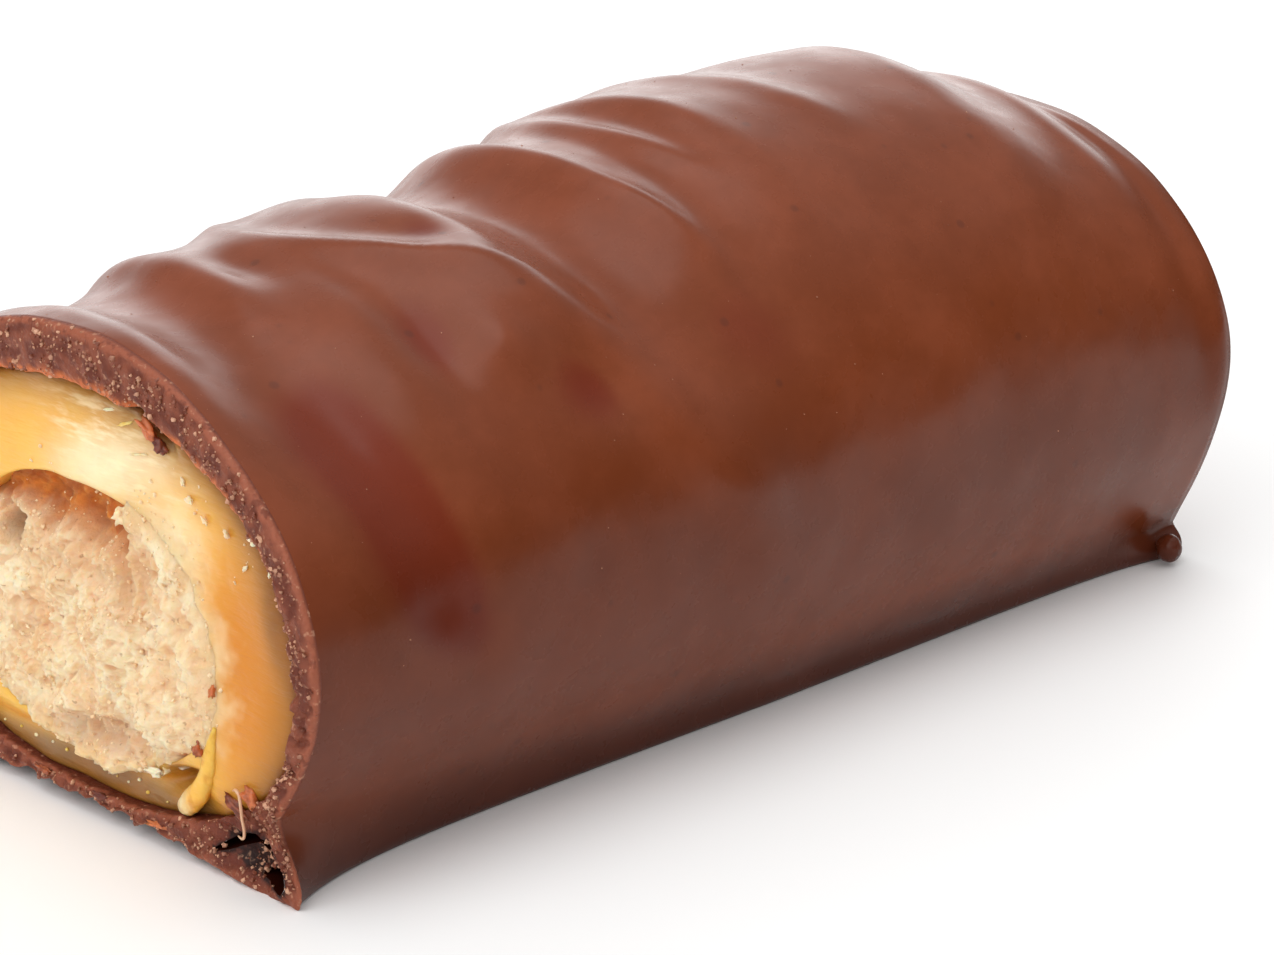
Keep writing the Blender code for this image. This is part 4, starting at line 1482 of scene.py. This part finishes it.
CHOCOLATE_BITS = (
    Bit(-4.7, 16.0, 0.22, 1.0, 0.42, 30.0),
    Bit(-5.35, 15.55, 0.22, 0.7, 0.36, 34.0),
    Bit(-6.7, 4.5, 0.35, 0.8, 0.45, -60.0),
    Bit(-7.6, 6.9, 0.32, 0.5, 0.25, -75.0),
    Bit(-8.8, 2.9, 0.30, 1.4, 0.35, 28.0),
    Bit(-9.7, 3.5, 0.25, 0.9, 0.4, 50.0),
    Bit(-0.8, 0.95, 0.10, 1.0, 0.25, -6.0),
    Bit(2.6, 0.95, 0.10, 1.2, 0.22, 4.0),
    Bit(-4.3, 0.85, 0.12, 1.1, 0.22, -4.0),
)
CRUMB_BITS = (
    Bit(-10.3, 13.3, 0.3, 0.4, 0.3, 20.0),
    Bit(-8.7, 13.1, 0.38, 0.34, 0.16, 60.0),
    Bit(-9.7, 12.1, 0.38, 0.3, 0.16, -40.0),
    Bit(-11.2, 12.3, 0.28, 0.28, 0.16, -60.0),
    Bit(-7.5, 13.3, 0.38, 0.3, 0.15, 40.0),
    Bit(-6.8, 13.9, 0.3, 0.35, 0.2, 10.0),
    Bit(-6.5, 14.5, 0.3, 0.3, 0.15, 70.0),
    Bit(3.0, 2.4, 0.95, 1.7, 0.3, -4.0),
    Bit(-3.9, 2.75, 0.4, 0.9, 0.3, -10.0),
    Bit(-2.75, 12.35, 0.3, 0.8, 0.45, -35.0),
)
CARAMEL_BITS = (
    Bit(-2.3, 16.2, 0.35, 0.7, 0.12, -15.0),
    Bit(-3.3, 15.9, 0.3, 0.9, 0.14, -20.0),
    Bit(-3.9, 14.9, 0.3, 1.3, 0.10, -12.0),
    Bit(-1.6, 14.1, 0.3, 1.8, 0.10, -6.0),
)
BUBBLES = ((2.5, 2.0), (1.7, 1.9), (0.5, 1.9), (-0.6, 1.8), (-1.3, 1.72), (-2.0, 1.7), (-3.1, 1.6),
           (-4.3, 1.6), (3.6, 1.95), (4.6, 2.0), (5.7, 1.95), (-2.6, 1.95), (6.4, 1.9))
BUBBLE_SIZES = (0.13, 0.17, 0.1, 0.2, 0.12)


def lumps(name, bits, rough, seed):
    """One mesh of irregular lumps laid on the cut face, each with its own shade."""
    data = bpy.data.meshes.new(name)
    mesh = bmesh.new()
    shades = []
    for number, bit in enumerate(bits):
        ball = bmesh.ops.create_icosphere(mesh, subdivisions=3, radius=0.5)["verts"]
        tilt = math.radians(bit.tilt)
        for vertex in ball:
            place = Vector(vertex.co)
            swell = 1.0 + rough * noise.fractal(place * 3.0 + Vector((seed + number, 0, 0)),
                                                1.0, 2.0, 2)
            place *= swell
            along, over, out = place.y * bit.length, place.z * bit.width, place.x * bit.width
            across = bit.across + along * math.cos(tilt) - over * math.sin(tilt)
            up = bit.up + along * math.sin(tilt) + over * math.cos(tilt)
            vertex.co = Vector((CUT_X + bit.depth + out, across, up)) * MM
        shades += [(0.8 + number * 0.37) % 1.0] * len(ball)
    mesh.to_mesh(data)
    mesh.free()
    set_value(data, "shade", shades)
    data.shade_smooth()
    return data


class BAR_OT_bits(bpy.types.Operator):
    """Lay the single flakes, curls and bubbles on the cut face"""

    bl_idname = "caramel_bar.bits"
    bl_label = "Flakes and Bubbles"

    def execute(self, context):
        coat, caramel = context.scene.bar_chocolate, context.scene.bar_caramel
        crumb = context.scene.bar_crumb
        bubbles = [Bit(across, up, strip_depth(across, up) - 0.02, size, size * 0.8, 0.0)
                   for (across, up), size in zip(BUBBLES, BUBBLE_SIZES * len(BUBBLES))]
        flakes = grain_finish("chocolate_flakes", coat.rim_bright, coat.rim_red, 0.4, 0.2)
        stray = grain_finish("pale_flakes", crumb.crumb_cream, crumb.crumb_colour, 0.6, 0.5)
        curls = grain_finish("caramel_curls", caramel.caramel_cream, caramel.caramel_gold, 0.3,
                             0.5)
        place_piece("chocolate_flakes", lumps("chocolate_flakes", CHOCOLATE_BITS, 0.9, 3.0),
                    (flakes,), "milk_chocolate")
        place_piece("pale_flakes", lumps("pale_flakes", CRUMB_BITS, 0.9, 13.0), (stray,),
                    "pale_crumb")
        place_piece("caramel_curls", lumps("caramel_curls", CARAMEL_BITS, 0.5, 23.0), (curls,),
                    "soft_caramel")
        place_piece("bubbles", lumps("bubbles", bubbles, 0.2, 33.0), (curls,), "soft_caramel")
        return {"FINISHED"}


# Path of the caramel tongue: (across, up, depth, half width)
TONGUE = ((-7.7, 5.6, 0.3, 0.08), (-7.5, 4.9, 0.3, 0.24), (-7.3, 4.2, 0.32, 0.34),
          (-7.05, 3.5, 0.34, 0.36), (-6.6, 2.8, 0.38, 0.44), (-6.05, 2.25, 0.42, 0.44),
          (-5.55, 1.88, 0.48, 0.36), (-5.3, 1.72, 0.52, 0.22), (-5.15, 1.64, 0.55, 0.05))
# Path of the curled thread: (across, up, depth, half width)
THREAD = ((-8.75, 3.55, 0.2, 0.03), (-9.1, 3.72, 0.05, 0.06), (-9.35, 3.6, 0.0, 0.065),
          (-9.45, 3.2, -0.03, 0.06), (-9.52, 2.8, -0.05, 0.055), (-9.62, 2.4, -0.05, 0.06),
          (-9.6, 2.12, -0.05, 0.055), (-9.42, 1.97, 0.0, 0.05), (-9.15, 1.98, 0.05, 0.03))
STRAND_STEPS = 8
STRAND_AROUND = 28


def strand(name, path, thickness):
    """A round strand along a smooth path on the cut face, flattened to thickness."""
    course = smooth_curve(path, STRAND_STEPS, False)
    places = np.column_stack([CUT_X + course[:, 2], course[:, 0], course[:, 1]])
    ahead = np.gradient(places, axis=0)
    ahead /= np.linalg.norm(ahead, axis=1, keepdims=True)
    side = np.cross(ahead, (1.0, 0.0, 0.0))
    side /= np.linalg.norm(side, axis=1, keepdims=True)
    lift = np.cross(side, ahead)
    around = np.linspace(0.0, 2.0 * np.pi, STRAND_AROUND, endpoint=False)[:, None]
    loft = Loft()
    for index, place in enumerate(places):
        reach = max(course[index, 3], 0.01)
        ring = place + reach * (np.cos(around) * side[index]
                                + thickness * np.sin(around) * lift[index])
        ring = ring + 0.12 * reach * uneven(ring, 0.5, 91.0, 2)[:, None]
        if index == 0:
            loft.begin(tuple(place), ring)
        else:
            loft.ring(ring)
    loft.cap(tuple(places[-1]))
    return loft.mesh(name)


# Drip on the foot: middle, half sizes and unevenness
DRIP_PLACE = (24.5, -12.1, 0.82)
DRIP_REACH = (0.55, 0.6, 0.64)
DRIP_ROUGH = 0.05


class BAR_OT_drip(bpy.types.Operator):
    """Hang the small drip of chocolate on the foot near the coated end"""

    bl_idname = "caramel_bar.drip"
    bl_label = "Drip"

    def execute(self, context):
        data = bpy.data.meshes.new("foot_drip")
        mesh = bmesh.new()
        for vertex in bmesh.ops.create_icosphere(mesh, subdivisions=5, radius=1.0)["verts"]:
            swell = 1.0 + DRIP_ROUGH * noise.fractal(vertex.co * 1.5, 1.0, 2.0, 2)
            place = [middle + reach * swell * share for middle, reach, share
                     in zip(DRIP_PLACE, DRIP_REACH, vertex.co)]
            vertex.co = Vector((place[0], place[1], max(place[2], 0.02))) * MM
        mesh.to_mesh(data)
        mesh.free()
        data.shade_smooth()
        place_piece("foot_drip", data, (bpy.data.materials["milk_chocolate_coat"],),
                    "milk_chocolate")
        return {"FINISHED"}


class BAR_OT_strands(bpy.types.Operator):
    """Lay the pulled caramel tongue and the curled thread at the cut's near corner"""

    bl_idname = "caramel_bar.strands"
    bl_label = "Tongue and Thread"

    def execute(self, context):
        look, coat = context.scene.bar_caramel, context.scene.bar_chocolate
        tongue = strand("caramel_tongue", TONGUE, 0.7)
        points = vertex_places(tongue)
        cream = 1.0 - smooth_step(-points[:, 1] + 0.4 * uneven(points, 0.8, 93.0), 5.2, 6.4)
        paint = covered(np.array(look.caramel_gold), cream, look.caramel_cream)
        streak = 0.55 * smooth_step(uneven(points, 0.45, 95.0, 3), -0.1, 0.4)
        set_colour(tongue, "paint", covered(paint, streak, look.caramel_amber))
        set_value(tongue, "pulled", np.zeros(len(points)))
        place_piece("caramel_tongue", tongue, (bpy.data.objects["caramel_mass"].active_material,),
                    "soft_caramel")
        thread = strand("curled_thread", THREAD, 1.0)
        set_value(thread, "shade", np.zeros(len(thread.vertices)))
        pale = grain_finish("pale_thread", look.caramel_cream, coat.rim_pale, 0.4, 0.3)
        place_piece("curled_thread", thread, (pale,), "soft_caramel")
        return {"FINISHED"}


# Stage

LENS = 98.02
SENSOR = 36.0
CAMERA_PLACE = (-95.4234, -98.6229, 52.83)
CAMERA_HEADING = 45.05
CAMERA_DOWN = 18.45
FLOOR_RADIUS = 2.5
# Where the sky and its overhead panel start and are full, by the sine of the height
SKY_SPREAD = (0.15, 0.85)
TOP_SPREAD = (0.88, 0.96)
# Panels: heading and height in degrees, and the cosines off them where they start and are full
BACK_PANEL = (45.0, 6.0, 0.78, 0.985)
CUT_PANEL = (185.0, 25.0, 0.6, 0.98)


def add_camera():
    """The camera at the photograph's place and angle."""
    data = bpy.data.cameras.new("camera")
    data.lens = LENS
    data.sensor_width = SENSOR
    data.clip_start = 0.01
    camera = add_object("camera", data)
    camera.location = [value * MM for value in CAMERA_PLACE]
    heading, down = math.radians(CAMERA_HEADING), math.radians(CAMERA_DOWN)
    camera.rotation_euler = (math.pi / 2 - down, 0.0, heading - math.pi / 2)
    bpy.context.scene.camera = camera


class Sky(Finish):
    """A world being wired with a finish's short calls."""

    def __init__(self, name):
        self.world = bpy.data.worlds.new(name)
        self.world.use_nodes = True
        self.nodes = self.world.node_tree.nodes
        self.links = self.world.node_tree.links
        self.shader = self.nodes["Background"]


def studio_sky(look):
    """A sky that brightens upwards, with soft panels overhead, behind the bar and at its cut."""
    sky = Sky("studio")
    toward = sky.node("ShaderNodeTexCoord").outputs["Generated"]
    parts = sky.fill(sky.node("ShaderNodeSeparateXYZ"), Vector=toward)
    height = parts.outputs["Z"]
    light = sky.ramp(height, *SKY_SPREAD, look.low, look.low + look.sky)
    light = sky.maths("ADD", light, sky.ramp(height, *TOP_SPREAD, 0.0, look.top))
    for strength, panel in ((look.back, BACK_PANEL), (look.cut, CUT_PANEL)):
        heading, raised, start, full = panel
        level = math.cos(math.radians(raised))
        facing = sky.node("ShaderNodeVectorMath", operation="DOT_PRODUCT")
        sky.links.new(toward, facing.inputs[0])
        facing.inputs[1].default_value = (math.cos(math.radians(heading)) * level,
                                          math.sin(math.radians(heading)) * level,
                                          math.sin(math.radians(raised)))
        shine = sky.ramp(facing.outputs["Value"], start, full, 0.0, strength)
        light = sky.maths("ADD", light, shine)
    sky.fill(sky.shader, Color=(1.0, 1.0, 1.0, 1.0), Strength=light)
    return sky.world


def add_floor(look):
    """A wide pale disc under the bar."""
    mesh = bmesh.new()
    bmesh.ops.create_circle(mesh, cap_ends=True, segments=96, radius=FLOOR_RADIUS)
    data = bpy.data.meshes.new("floor")
    mesh.to_mesh(data)
    mesh.free()
    finish = Finish("pale_floor")
    finish.fill(finish.shader, Base_Color=(*look.floor_colour, 1.0), Roughness=0.7)
    data.materials.append(finish.material)
    floor = add_object("floor", data)


class BAR_OT_stage(bpy.types.Operator):
    """Set up the pale floor, soft sky and camera"""

    bl_idname = "caramel_bar.stage"
    bl_label = "Stage"

    def execute(self, context):
        look = context.scene.bar_stage
        add_floor(look)
        add_camera()
        context.scene.world = studio_sky(look)
        context.scene.view_settings.view_transform = "Standard"
        return {"FINISHED"}


class BAR_PT_panel(bpy.types.Panel):
    """Lists the pieces of the bar"""

    bl_idname = "BAR_PT_panel"
    bl_label = "Caramel Bar"
    bl_space_type = "VIEW_3D"
    bl_region_type = "UI"
    bl_category = "Caramel Bar"

    def draw(self, context):
        column = self.layout.column(align=True)
        for operator in OPERATORS:
            column.operator(operator.bl_idname)


LOOKS = {
    "bar_chocolate": ChocolateLook,
    "bar_caramel": CaramelLook,
    "bar_crumb": CrumbLook,
    "bar_scatter": ScatterSizes,
    "bar_stage": StageLook,
}
OPERATORS = (BAR_OT_stage, BAR_OT_coating, BAR_OT_caramel, BAR_OT_centre, BAR_OT_rim_grains,
             BAR_OT_crumbs, BAR_OT_specks, BAR_OT_bits, BAR_OT_strands, BAR_OT_drip)


def register():
    """Registers the property groups, the operators and the panel."""
    for name, group in LOOKS.items():
        bpy.utils.register_class(group)
        setattr(bpy.types.Scene, name, PointerProperty(type=group))
    for operator in OPERATORS:
        bpy.utils.register_class(operator)
    bpy.utils.register_class(BAR_PT_panel)


def unregister():
    """Removes them again."""
    bpy.utils.unregister_class(BAR_PT_panel)
    for operator in reversed(OPERATORS):
        bpy.utils.unregister_class(operator)
    for name, group in reversed(LOOKS.items()):
        delattr(bpy.types.Scene, name)
        bpy.utils.unregister_class(group)


def main():
    """Builds every piece in order."""
    register()
    for operator in OPERATORS:
        group, action = operator.bl_idname.split(".")
        getattr(getattr(bpy.ops, group), action)()


if __name__ == "__main__":
    main()
